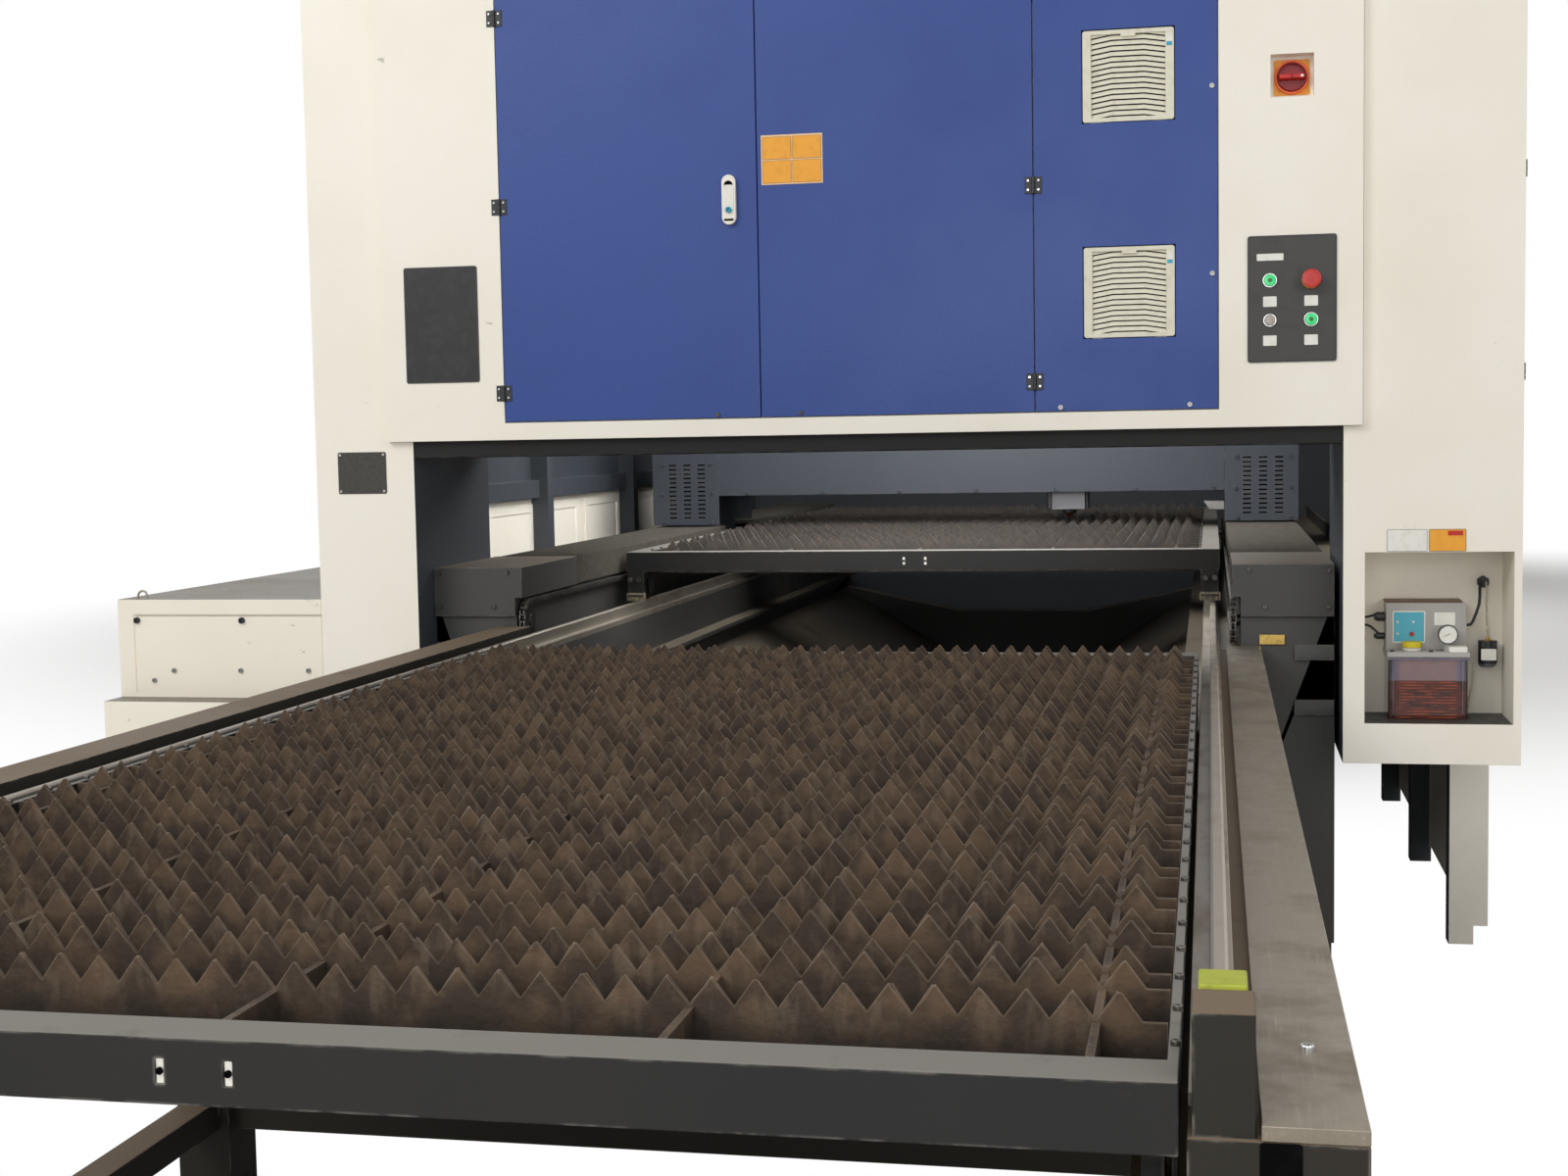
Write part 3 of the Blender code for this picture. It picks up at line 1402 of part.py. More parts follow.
def doors():
    pin_y = PORTAL_FRONT - PIN_STANDOFF
    left_hinge = carrier("left_door_hinge", (BAY_LEFT, pin_y, BAY_BOTTOM))
    half_gap = DOOR_OPEN_GAP / 2
    pan = door_pan(BAY_LEFT + half_gap, LEFT_SEAM - half_gap)
    leaves = [
        hinge_half((BAY_LEFT, PORTAL_FRONT), (1.0, 0.0), (0.0, -1.0), z, fixed=False)
        for z in HINGE_HEIGHTS
    ]
    lock_z = LOCK_TOP_Z - LOCK_WIDTH / 2
    bore = round_mesh(
        (LOCK_X, PORTAL_FRONT, lock_z),
        bore_radius(LOCK_SPINDLE_RADIUS, SPINDLE_SIDES),
        DOOR_THICK,
        "Y",
        sides=SPINDLE_SIDES,
    )
    piece("left_door", cut(fused([pan, gathered(leaves)]), bore), "blue_paint", left_hinge)

    lock = carrier("lock_pivot", (LOCK_X, PORTAL_FRONT, lock_z), left_hinge)
    radius = LOCK_WIDTH / 2
    low_centre = (LOCK_X, LOCK_TOP_Z - LOCK_HEIGHT + radius)
    grip = loop_points((LOCK_X, lock_z), radius, 0.0, math.pi, CHAIN_STEPS) + loop_points(
        low_centre, radius, math.pi, math.tau, CHAIN_STEPS
    )
    lever = outline_mesh(grip, "Y", PORTAL_FRONT - GAP - LOCK_DEPTH, PORTAL_FRONT - GAP)
    spindle_end = PORTAL_FRONT + DOOR_SKIN
    spindle_start = PORTAL_FRONT - LOCK_DEPTH / 2
    spindle = round_mesh(
        (LOCK_X, (spindle_start + spindle_end) / 2, lock_z),
        LOCK_SPINDLE_RADIUS,
        spindle_end - spindle_start,
        "Y",
        sides=12,
    )
    piece("lock_handle", fused([lever, spindle]), "white_paint", lock)

    centre_hinge = carrier("centre_door_hinge", (RIGHT_SEAM, pin_y, BAY_BOTTOM))
    pan = door_pan(LEFT_SEAM + half_gap, RIGHT_SEAM - half_gap)
    leaves = [
        hinge_half((RIGHT_SEAM, PORTAL_FRONT), (-1.0, 0.0), (0.0, -1.0), z, fixed=False)
        for z in HINGE_HEIGHTS
    ]
    piece("centre_door", fused([pan, gathered(leaves)]), "blue_paint", centre_hinge)


def fan_panel():
    """The fixed blue panel with the openings of the two filter vents."""
    pan = door_pan(RIGHT_SEAM + DOOR_OPEN_GAP / 2, BAY_RIGHT - RUN_GAP)
    half = VENT_SIZE / 2
    holes = []
    for z in (VENT_UPPER_Z, VENT_LOWER_Z):
        holes.append(
            span_mesh(
                (VENT_X - half, VENT_X + half),
                (PORTAL_FRONT - OVERRUN, PORTAL_FRONT + DOOR_THICK + OVERRUN),
                (z - half, z + half),
            )
        )
    leaves = [
        hinge_half((RIGHT_SEAM, PORTAL_FRONT), (1.0, 0.0), (0.0, -1.0), z, fixed=True)
        for z in HINGE_HEIGHTS
    ]
    piece("fan_panel", fused([cut(pan, gathered(holes)), gathered(leaves)]), "blue_paint")


def tilted_slat(x, y, z):
    """One vent slat, turned about its long axis."""
    reach = VENT_SLAT_REACH / 2
    half = VENT_SLAT_THICK / 2
    length = (VENT_SIZE - VENT_RIM) / 2
    slat = span_mesh((-length, length), (-reach, reach), (-half, half))
    return turned_mesh(slat, Matrix.Translation((x, y, z)) @ Matrix.Rotation(VENT_SLAT_TILT, 4, "X"))


def vents():
    for name, z in (("vent_upper", VENT_UPPER_Z), ("vent_lower", VENT_LOWER_Z)):
        half = VENT_SIZE / 2 - GAP
        front = PORTAL_FRONT + GAP
        frame = span_mesh((VENT_X - half, VENT_X + half), (front, front + VENT_DEPTH), (z - half, z + half))
        hole = half - VENT_RIM
        frame = cut(
            frame,
            span_mesh(
                (VENT_X - hole, VENT_X + hole),
                (front - OVERRUN, front + VENT_DEPTH + OVERRUN),
                (z - hole, z + hole),
            ),
        )
        rows = spread(z - hole + VENT_RIM / 2, z + hole - VENT_RIM / 2, VENT_SLATS)
        middle = front + VENT_SLAT_RECESS + VENT_SLAT_REACH / 2
        slats = [tilted_slat(VENT_X, middle, row) for row in rows]
        piece(name, fused([frame, gathered(slats)]), "cream_plastic")


def side_door():
    rear = SIDE_DOOR_FRONT + SIDE_DOOR_WIDTH
    pin_x = RIGHT_EDGE + PIN_STANDOFF
    hinge = carrier("side_door_hinge", (pin_x, SIDE_DOOR_FRONT, SIDE_DOOR_BOTTOM))
    outside = span_mesh(
        (RIGHT_EDGE - DOOR_THICK + GAP, RIGHT_EDGE),
        (SIDE_DOOR_FRONT + DOOR_OPEN_GAP / 2, rear - RUN_GAP),
        (SIDE_DOOR_BOTTOM + RUN_GAP, SIDE_DOOR_TOP - RUN_GAP),
    )
    hollow = span_mesh(
        (RIGHT_EDGE - DOOR_THICK - OVERRUN, RIGHT_EDGE - DOOR_SKIN),
        (SIDE_DOOR_FRONT + DOOR_FLANGE, rear - RUN_GAP - DOOR_FLANGE),
        (SIDE_DOOR_BOTTOM + RUN_GAP + DOOR_FLANGE, SIDE_DOOR_TOP - RUN_GAP - DOOR_FLANGE),
    )
    leaves = [
        hinge_half((RIGHT_EDGE, SIDE_DOOR_FRONT), (0.0, 1.0), (1.0, 0.0), z, fixed=False)
        for z in HINGE_HEIGHTS
    ]
    piece("side_door", fused([cut(outside, hollow), gathered(leaves)]), "white_paint", hinge)


def side_wall(name, inner, outer):
    """A long side wall with its posts and waist rail on the inside."""
    front = FRONT_Y + COLUMN_DEPTH + GAP
    rear = REAR_Y - WALL - GAP
    top = HEIGHT - WALL - GAP
    inward = 1.0 if inner > outer else -1.0
    panel = span_mesh(sorted((inner, outer)), (front, rear), (WALL_BOTTOM, top))
    posts = []
    edge = sorted((inner - inward * GROOVE, inner + inward * POST))
    for y in spread(front, rear - POST, POST_COUNT):
        posts.append(span_mesh(edge, (y, y + POST), (0.0, top)))
    waist = span_mesh(
        sorted((inner - inward * GROOVE, inner + inward * POST / 2)),
        (front + POST / 2, rear - POST / 2),
        (WAIST_RAIL_Z, WAIST_RAIL_Z + POST),
    )
    piece(name, fused([panel, gathered(posts), waist]), "white_paint")


def enclosure():
    side_wall("side_wall_left", LEFT_EDGE + WALL, LEFT_EDGE)
    side_wall("side_wall_right", RIGHT_EDGE - WALL, RIGHT_EDGE)
    piece(
        "rear_wall",
        span_mesh((LEFT_EDGE, RIGHT_EDGE), (REAR_Y - WALL, REAR_Y), (WALL_BOTTOM, HEIGHT - WALL - GAP)),
        "white_paint",
    )
    piece(
        "roof_panel",
        span_mesh(
            (LEFT_EDGE, RIGHT_EDGE), (FRONT_Y + COLUMN_DEPTH + GAP, REAR_Y), (HEIGHT - WALL, HEIGHT)
        ),
        "white_paint",
    )


def low_cabinet():
    """The low cabinet at the left: a body on a deeper plinth, with the outline of its front panel."""
    right = LEFT_EDGE - GAP
    rear = FRONT_Y + LOW_CABINET_DEPTH
    body = outline_mesh(
        [
            (FRONT_Y - PLINTH_PROUD, 0.0),
            (rear, 0.0),
            (rear, LOW_CABINET_TOP),
            (FRONT_Y, LOW_CABINET_TOP),
            (FRONT_Y, PLINTH_TOP),
            (FRONT_Y - PLINTH_PROUD, PLINTH_TOP),
        ],
        "X",
        LOW_CABINET_LEFT,
        right,
    )
    hollow = span_mesh(
        (LOW_CABINET_LEFT + SHEET, right - SHEET),
        (FRONT_Y + 2 * SHEET, rear - SHEET),
        (-OVERRUN, LOW_CABINET_TOP - SHEET),
    )
    left = LOW_CABINET_LEFT + LOW_PANEL_EDGE
    top = LOW_CABINET_TOP - LOW_PANEL_DROP
    level = span_mesh((left, right + OVERRUN), (FRONT_Y - OVERRUN, FRONT_Y + GROOVE), (top, top + GROOVE))
    upright = span_mesh(
        (left, left + GROOVE),
        (FRONT_Y - OVERRUN, FRONT_Y + GROOVE),
        (top - LOW_PANEL_HEIGHT, top + GROOVE),
    )
    piece("low_cabinet", cut(body, hollow, level, upright), "white_paint")


# Controls
def controls():
    """The main switch knob and the panel with its four push buttons."""
    floor_y = PORTAL_FRONT + SWITCH_RECESS_DEPTH
    dial_y = floor_y - GAP
    turn = carrier("switch_axis", (SWITCH_X, floor_y, SWITCH_Z))
    dial = round_mesh(
        (SWITCH_X, dial_y - SWITCH_DIAL_THICK / 2, SWITCH_Z), SWITCH_DIAL_RADIUS, SWITCH_DIAL_THICK, "Y"
    )
    grip = span_mesh(
        (SWITCH_X - SWITCH_GRIP_WIDTH / 2, SWITCH_X + SWITCH_GRIP_WIDTH / 2),
        (dial_y - SWITCH_DIAL_THICK - SWITCH_GRIP_THICK, dial_y - SWITCH_DIAL_THICK / 2),
        (SWITCH_Z - SWITCH_DIAL_RADIUS, SWITCH_Z + SWITCH_DIAL_RADIUS),
    )
    spindle = round_mesh(
        (SWITCH_X, floor_y, SWITCH_Z), SWITCH_SPINDLE_RADIUS, SWITCH_RECESS_DEPTH / 2, "Y", sides=12
    )
    piece("switch_knob", fused([dial, grip, spindle]), "red_plastic", turn)

    face_y = PORTAL_FRONT - GAP
    places = {
        "exchange_button": (BUTTON_X_LEFT, BUTTON_Z_UPPER, "green_lens"),
        "estop_button": (BUTTON_X_RIGHT, BUTTON_Z_UPPER, "red_plastic"),
        "pause_button": (BUTTON_X_LEFT, BUTTON_Z_LOWER, "bright_steel"),
        "start_button": (BUTTON_X_RIGHT, BUTTON_Z_LOWER, "green_lens"),
    }
    plate = span_mesh(
        (PANEL_LEFT, PANEL_RIGHT), (face_y - PANEL_THICK, face_y), (PANEL_BOTTOM, PANEL_TOP)
    )
    bezels = []
    bores = []
    ring_y = face_y - PANEL_THICK - BEZEL_THICK
    for x, z, _ in places.values():
        bezels.append(
            round_mesh(
                (x, (ring_y + face_y) / 2 - GROOVE / 4, z),
                BEZEL_RADIUS,
                face_y - ring_y - GROOVE / 2,
                "Y",
                sides=14,
            )
        )
        bores.append(round_mesh((x, face_y, z), BUTTON_RADIUS + GAP, BUTTON_LENGTH * 2, "Y", sides=12))
    piece("button_panel", cut(fused([plate, gathered(bezels)]), gathered(bores)), "black_plastic")
    for name, (x, z, finish) in places.items():
        press = carrier(name + "_slide", (x, face_y, z))
        front = ring_y - (ESTOP_PROUD if name == "estop_button" else BUTTON_PROUD)
        rear = front + BUTTON_LENGTH + (ESTOP_PROUD - BUTTON_PROUD if name == "estop_button" else 0.0)
        stem = round_mesh((x, (front + rear) / 2, z), BUTTON_RADIUS, rear - front, "Y", sides=12)
        if name == "estop_button":
            head = round_mesh(
                (x, front + ESTOP_HEAD_THICK / 2, z), ESTOP_HEAD_RADIUS, ESTOP_HEAD_THICK, "Y"
            )
            stem = fused([head, stem])
        piece(name, stem, finish, press, rounded=True)


# Lubricator in the oil recess
def lubricator():
    back = FRONT_Y + RECESS_DEPTH - GAP
    left = PUMP_X - PUMP_WIDTH / 2
    right = PUMP_X + PUMP_WIDTH / 2
    tank_low = RECESS_BOTTOM + GAP
    tank_high = tank_low + TANK_HEIGHT
    flange_low = tank_high + GAP
    flange_high = flange_low + FLANGE_THICK
    pump_high = flange_high + PUMP_HEIGHT
    tank_front = back - TANK_DEPTH
    tank = span_mesh(
        (PUMP_X - TANK_WIDTH / 2, PUMP_X + TANK_WIDTH / 2), (tank_front, back), (tank_low, tank_high)
    )
    piece("lubricator_tank", tank, "oil_amber")

    flange = span_mesh((left, right), (tank_front - FLANGE_THICK, back), (flange_low, flange_high))
    head = outline_mesh(
        [
            (left + WELD_STEP, flange_high - GROOVE),
            (right - WELD_STEP, flange_high - GROOVE),
            (right - WELD_STEP, pump_high - PUMP_CHAMFER),
            (right - PUMP_CHAMFER, pump_high),
            (left + WELD_STEP, pump_high),
        ],
        "Y",
        tank_front + FLANGE_LEDGE,
        back - WELD_STEP,
    )
    gauge_x = PUMP_X + GAUGE_OFFSET
    ledge_y = tank_front + FLANGE_LEDGE / 2
    gauge_z = flange_high + GAUGE_RISE
    stem = round_mesh(
        (gauge_x, ledge_y, (flange_high - GROOVE + gauge_z) / 2),
        GAUGE_STEM_RADIUS,
        gauge_z - flange_high + GROOVE,
        sides=12,
    )
    dial = round_mesh((gauge_x, ledge_y, gauge_z), GAUGE_RADIUS, GAUGE_THICK, "Y", sides=24)
    cap_x = PUMP_X - CAP_OFFSET
    neck = round_mesh((cap_x, ledge_y, flange_high), CAP_NECK_RADIUS, CAP_NECK_HEIGHT * 2, sides=16)
    piece("lubricator_pump", fused([flange, head, stem, dial, neck]), "pump_grey")

    cap_low = flange_high + CAP_NECK_HEIGHT + GAP
    unscrew = carrier("filler_cap_axis", (cap_x, ledge_y, cap_low))
    cap = round_mesh(
        (cap_x, ledge_y, cap_low + CAP_HEIGHT / 2), CAP_RADIUS, CAP_HEIGHT, sides=20
    )
    piece("filler_cap", cap, "yellow_plastic", unscrew, True)
    oil_lines(back, right, flange_high)


def oil_lines(back, pump_right, flange_high):
    """The filter cup on the recess's back, and the two thin lines that the recess holds."""
    cup = round_mesh(
        (FILTER_X, back - FILTER_BRACKET - FILTER_RADIUS, FILTER_Z), FILTER_RADIUS, FILTER_HEIGHT, sides=20
    )
    foot = span_mesh(
        (FILTER_X - FILTER_BRACKET, FILTER_X + FILTER_BRACKET),
        (back - FILTER_BRACKET - FILTER_RADIUS / 2, back),
        (FILTER_Z - FILTER_BRACKET, FILTER_Z + FILTER_BRACKET),
    )
    piece("oil_filter", fused([cup, foot]), "black_plastic", rounded=True)
    gland_y = back - GLAND_LENGTH / 2
    gland = round_mesh((GLAND_X, gland_y, GLAND_Z), GLAND_RADIUS, GLAND_LENGTH, "Y", sides=6)
    piece("wall_gland", gland, "black_plastic")
    gland_front = back - GLAND_LENGTH - HOSE_RADIUS / 2
    cup_top = FILTER_Z + FILTER_HEIGHT / 2 + 2 * GAP
    cup_y = back - FILTER_BRACKET - FILTER_RADIUS
    hose_x = GLAND_X + HOSE_RADIUS * 2
    hose = [
        (hose_x, gland_front, GLAND_Z),
        (hose_x, gland_front - HOSE_RADIUS * 2, GLAND_Z),
        (hose_x, gland_front - HOSE_RADIUS * 6, GLAND_Z - HOSE_RADIUS * 4),
        (hose_x, gland_front - HOSE_RADIUS * 8, (GLAND_Z + cup_top) / 2),
        (FILTER_X, cup_y, cup_top + FILTER_RADIUS),
        (FILTER_X, cup_y, cup_top + HOSE_RADIUS * 2),
        (FILTER_X, cup_y, cup_top),
    ]
    tube("oil_hose", hose, HOSE_RADIUS, "clear_hose")
    cable_x = GLAND_X - CABLE_RADIUS * 2
    pump_y = back - PUMP_DEPTH / 2
    pump_z = flange_high + PUMP_HEIGHT / 2
    cable = [
        (cable_x, gland_front, GLAND_Z),
        (cable_x, gland_front - CABLE_RADIUS * 2, GLAND_Z),
        (cable_x - CABLE_RADIUS, gland_front - CABLE_RADIUS * 5, GLAND_Z - CABLE_RADIUS * 4),
        (cable_x - CABLE_RADIUS * 2, pump_y, (GLAND_Z + pump_z) / 2),
        (pump_right + CABLE_RADIUS * 4, pump_y, pump_z + CABLE_RADIUS * 2),
        (pump_right + CABLE_RADIUS * 2, pump_y, pump_z),
        (pump_right + 2 * GAP, pump_y, pump_z),
    ]
    tube("pump_cable", cable, CABLE_RADIUS, "black_plastic")


def smooth_route(points, steps):
    """A smooth line through the points, as a Catmull-Rom curve."""
    ends = [points[0]] + list(points) + [points[-1]]
    route = []
    for index in range(len(points) - 1):
        before, start, end, after = ends[index : index + 4]
        for step in range(steps):
            t = step / steps
            route.append(
                [
                    0.5
                    * (
                        2 * start[k]
                        + (end[k] - before[k]) * t
                        + (2 * before[k] - 5 * start[k] + 4 * end[k] - after[k]) * t**2
                        + (3 * start[k] - before[k] - 3 * end[k] + after[k]) * t**3
                    )
                    for k in range(3)
                ]
            )
    return route + [list(points[-1])]


def tube(name, points, radius, finish):
    """A thin round line along a smooth route, as a bevelled curve."""
    curve = bpy.data.curves.new(name, "CURVE")
    curve.dimensions = "3D"
    route = smooth_route(points, ROUTE_STEPS)
    line = curve.splines.new("POLY")
    line.points.add(len(route) - 1)
    for point, place in zip(line.points, route):
        point.co = (*place, 1.0)
    curve.bevel_depth = radius
    curve.bevel_resolution = 2
    curve.use_fill_caps = True
    curve.materials.append(finish_of(name, finish))
    part = bpy.data.objects.new(name, curve)
    part.parent = machine
    parts.objects.link(part)


# Gantry
def gantry_beam(on):
    """The cross beam with the two X rails on its face and a saddle over the guide at each end."""
    rear = CROSSBEAM_FRONT + CROSSBEAM_DEPTH
    beam = span_mesh(
        (-SADDLE_OUTER, SADDLE_OUTER), (CROSSBEAM_FRONT, rear), (CROSSBEAM_BOTTOM, CROSSBEAM_TOP)
    )
    rails = []
    reach = END_COVER_INNER - RUN_GAP
    for z in (X_RAIL_LOW_Z, X_RAIL_HIGH_Z):
        rails.append(
            span_mesh(
                (-reach, reach), (CROSSBEAM_FRONT - X_RAIL, CROSSBEAM_FRONT + GROOVE), (z, z + X_RAIL)
            )
        )
    saddle = span_mesh(
        (SADDLE_INNER, SADDLE_OUTER), (SADDLE_FRONT, SADDLE_REAR), (SADDLE_BOTTOM, CROSSBEAM_BOTTOM + OVERRUN)
    )
    half = GUIDE_WIDTH / 2 + GAP
    groove = span_mesh(
        (GUIDE_X - half, GUIDE_X + half),
        (SADDLE_FRONT - OVERRUN, SADDLE_REAR + OVERRUN),
        (SADDLE_BOTTOM - OVERRUN, BED_TOP + GUIDE_HEIGHT + 2 * GAP),
    )
    saddle = cut(saddle, groove)
    whole = fused([beam, gathered(rails), gathered([saddle, mirrored(saddle)])])
    piece("gantry_beam", whole, "slate_paint", on)


def gantry_covers(on):
    """The long front cover, and the louvred boxes over the two ends."""
    top = GANTRY_TOP
    reach = END_COVER_INNER - GAP
    cover = outline_mesh(
        [
            (GANTRY_FRONT, BEAM_COVER_BOTTOM),
            (GANTRY_FRONT, top),
            (CROSSBEAM_FRONT + CROSSBEAM_DEPTH, top),
            (CROSSBEAM_FRONT + CROSSBEAM_DEPTH, CROSSBEAM_TOP + GAP),
            (CROSSBEAM_FRONT, CROSSBEAM_TOP + GAP),
            (GANTRY_FRONT + SHEET, CROSSBEAM_TOP + SHEET * 3),
            (GANTRY_FRONT + SHEET, BEAM_COVER_BOTTOM),
        ],
        "X",
        -reach,
        reach,
    )
    piece("gantry_cover", cover, "slate_paint", on)
    rear = GANTRY_FRONT + END_COVER_DEPTH
    outside = span_mesh(
        (END_COVER_INNER, END_COVER_OUTER), (GANTRY_FRONT, rear), (END_COVER_BOTTOM, top)
    )
    hollow = span_mesh(
        (END_COVER_INNER - OVERRUN, END_COVER_OUTER - SHEET),
        (GANTRY_FRONT + SHEET, rear - SHEET),
        (END_COVER_BOTTOM - OVERRUN, top - SHEET),
    )
    slots = []
    middle = (END_COVER_INNER + END_COVER_OUTER) / 2
    for column in range(LOUVRE_COLUMNS):
        x = middle + (column - (LOUVRE_COLUMNS - 1) / 2) * LOUVRE_COLUMN_PITCH
        for row in range(LOUVRE_ROWS):
            z = top - LOUVRE_TOP_DROP - row * LOUVRE_ROW_PITCH
            slots.append(
                span_mesh(
                    (x - LOUVRE_LENGTH / 2, x + LOUVRE_LENGTH / 2),
                    (GANTRY_FRONT - OVERRUN, GANTRY_FRONT + SHEET + OVERRUN),
                    (z, z + LOUVRE_HEIGHT),
                )
            )
    both_sides("gantry_end", cut(outside, hollow, gathered(slots)), "slate_paint", on)


def gantry():
    travel = carrier("gantry_slide", (0.0, CROSSBEAM_FRONT, BED_TOP))
    gantry_beam(travel)
    gantry_covers(travel)
    plate_rear = CROSSBEAM_FRONT - X_RAIL - GAP
    plate_front = plate_rear - CARRIAGE_THICK
    across = carrier("carriage_slide", (HEAD_X, plate_rear, X_RAIL_LOW_Z), travel)
    piece(
        "carriage",
        span_mesh(
            (HEAD_X - CARRIAGE_WIDTH / 2, HEAD_X + CARRIAGE_WIDTH / 2),
            (plate_front, plate_rear),
            (CARRIAGE_BOTTOM, CARRIAGE_TOP - OVERRUN),
        ),
        "pump_grey",
        across,
    )
    head_rear = plate_front - GAP
    head_y = head_rear - HEAD_DEPTH / 2
    lift = carrier("head_slide", (HEAD_X, head_y, HEAD_BOTTOM), across)
    body = span_mesh(
        (HEAD_X - HEAD_WIDTH / 2, HEAD_X + HEAD_WIDTH / 2),
        (head_rear - HEAD_DEPTH, head_rear),
        (HEAD_BOTTOM, HEAD_TOP - OVERRUN * 10),
    )
    neck = round_mesh(
        (HEAD_X, head_y, HEAD_BOTTOM + GROOVE / 2), HEAD_DEPTH / 3, GROOVE * 2, sides=24
    )
    piece("cutting_head", fused([body, neck]), "pump_grey", lift)
    nozzle_top = HEAD_BOTTOM - GROOVE / 2 - GAP
    cone = round_mesh(
        (HEAD_X, head_y, (nozzle_top + NOZZLE_TIP_Z) / 2),
        NOZZLE_TIP_RADIUS,
        nozzle_top - NOZZLE_TIP_Z,
        end_radius=NOZZLE_TOP_RADIUS,
        sides=24,
    )
    bore = round_mesh(
        (HEAD_X, head_y, (nozzle_top + NOZZLE_TIP_Z) / 2),
        NOZZLE_BORE_RADIUS,
        nozzle_top - NOZZLE_TIP_Z + OVERRUN,
        sides=10,
    )
    piece("nozzle", cut(cone, bore), "copper", lift, True)


bed_frame()
guides()
rail_covers()
bellows()
exchange_platform()
pallet_rails()
pallets()
drive()
left_column()
right_column()
cross_tube()
portal_housing()
equipment_plate()
doors()
fan_panel()
vents()
side_door()
enclosure()
low_cabinet()
controls()
lubricator()
gantry()
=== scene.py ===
# %% [markdown]
# # A fiber laser cutting machine
#
# This notebook dresses a finished CAD model of a sheet-metal laser cutter with an exchange
# table. The CAD model is loaded first as a fixed frame, and everything made here is laid on
# it in metres. The pieces that need more detail than a CAD file should carry, such as the
# saw-tooth slats, the bellows and the screws, are modelled again with Blender's own tools.

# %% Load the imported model
import json
import math

import bmesh
import bpy
from mathutils import Matrix, Vector

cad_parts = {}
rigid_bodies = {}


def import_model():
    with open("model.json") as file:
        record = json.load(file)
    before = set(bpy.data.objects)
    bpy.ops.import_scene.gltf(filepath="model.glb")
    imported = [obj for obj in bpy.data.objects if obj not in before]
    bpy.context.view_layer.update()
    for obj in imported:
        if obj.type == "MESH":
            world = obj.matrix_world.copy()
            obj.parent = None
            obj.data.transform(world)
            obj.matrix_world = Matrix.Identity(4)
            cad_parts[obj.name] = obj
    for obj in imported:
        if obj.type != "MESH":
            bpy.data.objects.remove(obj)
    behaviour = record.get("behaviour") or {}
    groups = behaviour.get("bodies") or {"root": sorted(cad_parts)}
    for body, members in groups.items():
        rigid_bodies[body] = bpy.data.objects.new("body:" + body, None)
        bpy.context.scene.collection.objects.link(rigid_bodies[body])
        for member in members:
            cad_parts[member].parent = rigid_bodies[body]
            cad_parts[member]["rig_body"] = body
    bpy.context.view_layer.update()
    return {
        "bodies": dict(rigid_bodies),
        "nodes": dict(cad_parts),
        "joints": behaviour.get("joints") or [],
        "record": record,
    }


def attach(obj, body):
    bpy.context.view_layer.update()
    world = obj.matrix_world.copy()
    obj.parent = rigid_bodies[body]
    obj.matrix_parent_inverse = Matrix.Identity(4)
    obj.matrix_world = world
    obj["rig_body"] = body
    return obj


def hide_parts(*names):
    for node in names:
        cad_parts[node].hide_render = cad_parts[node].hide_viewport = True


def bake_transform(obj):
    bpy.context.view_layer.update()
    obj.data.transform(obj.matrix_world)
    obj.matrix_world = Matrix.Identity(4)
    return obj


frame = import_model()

nodes = frame["nodes"]

# %% [markdown]
# ## Places on the machine
#
# Sizes are easiest to write from the machine itself: x = 0 on its centre line, y = 0 on the
# front of the white columns, z = 0 on the floor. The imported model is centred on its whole
# box instead, so one shift takes a place on the machine to a place in the scene.

# %% The shift between the two
SHIFT = Vector((0.21485, -0.727, 0.0))


def at(x, y, z):
    """A place on the machine, given in the scene's own frame."""
    return Vector((x, y, z)) + SHIFT


print("machine origin in the scene:", at(0, 0, 0)[:])

# %% [markdown]
# ## Camera
#
# The camera stands 5 m in front of the machine, right of its middle, and looks a little left
# and down. A camera looks along its own -Z, so its three axes are worked out from turn, tilt
# and lean, and written as the columns of its matrix.

# %% Camera
TURN, TILT, LEAN = (math.radians(a) for a in (11.66134809, 4.30881915, -1.02683885))
ahead = Vector((-math.sin(TURN), math.cos(TURN), 0.0))
aside = Vector((math.cos(TURN), math.sin(TURN), 0.0))
above = Vector((0.0, 0.0, 1.0))
look = ahead * math.cos(TILT) - above * math.sin(TILT)
rise = above * math.cos(TILT) + ahead * math.sin(TILT)
right = aside * math.cos(LEAN) + rise * math.sin(LEAN)
up = rise * math.cos(LEAN) - aside * math.sin(LEAN)
camera_data = bpy.data.cameras.new("camera")
camera_data.lens = 47.54
camera_data.clip_end = 200.0
camera = bpy.data.objects.new("camera", camera_data)
bpy.context.scene.collection.objects.link(camera)
turned = Matrix((right, up, -look)).transposed().to_4x4()
camera.matrix_world = Matrix.Translation(at(0.857, -5.05, 1.377)) @ turned
bpy.context.scene.camera = camera
print("camera at", [round(v, 3) for v in camera.location])

# %% [markdown]
# ## Light and floor
#
# A studio for a big machine is a pale floor, an even sky and a few very large soft lamps. The
# sky gives most of the light from all sides. What the camera, a mirror or glass sees of it is
# plain white, which is chosen with a Light Path node so that the lamps needn't be turned up.
# The lamps stand above and in front, and one low one reaches under the portal, where the
# machine would otherwise be black.

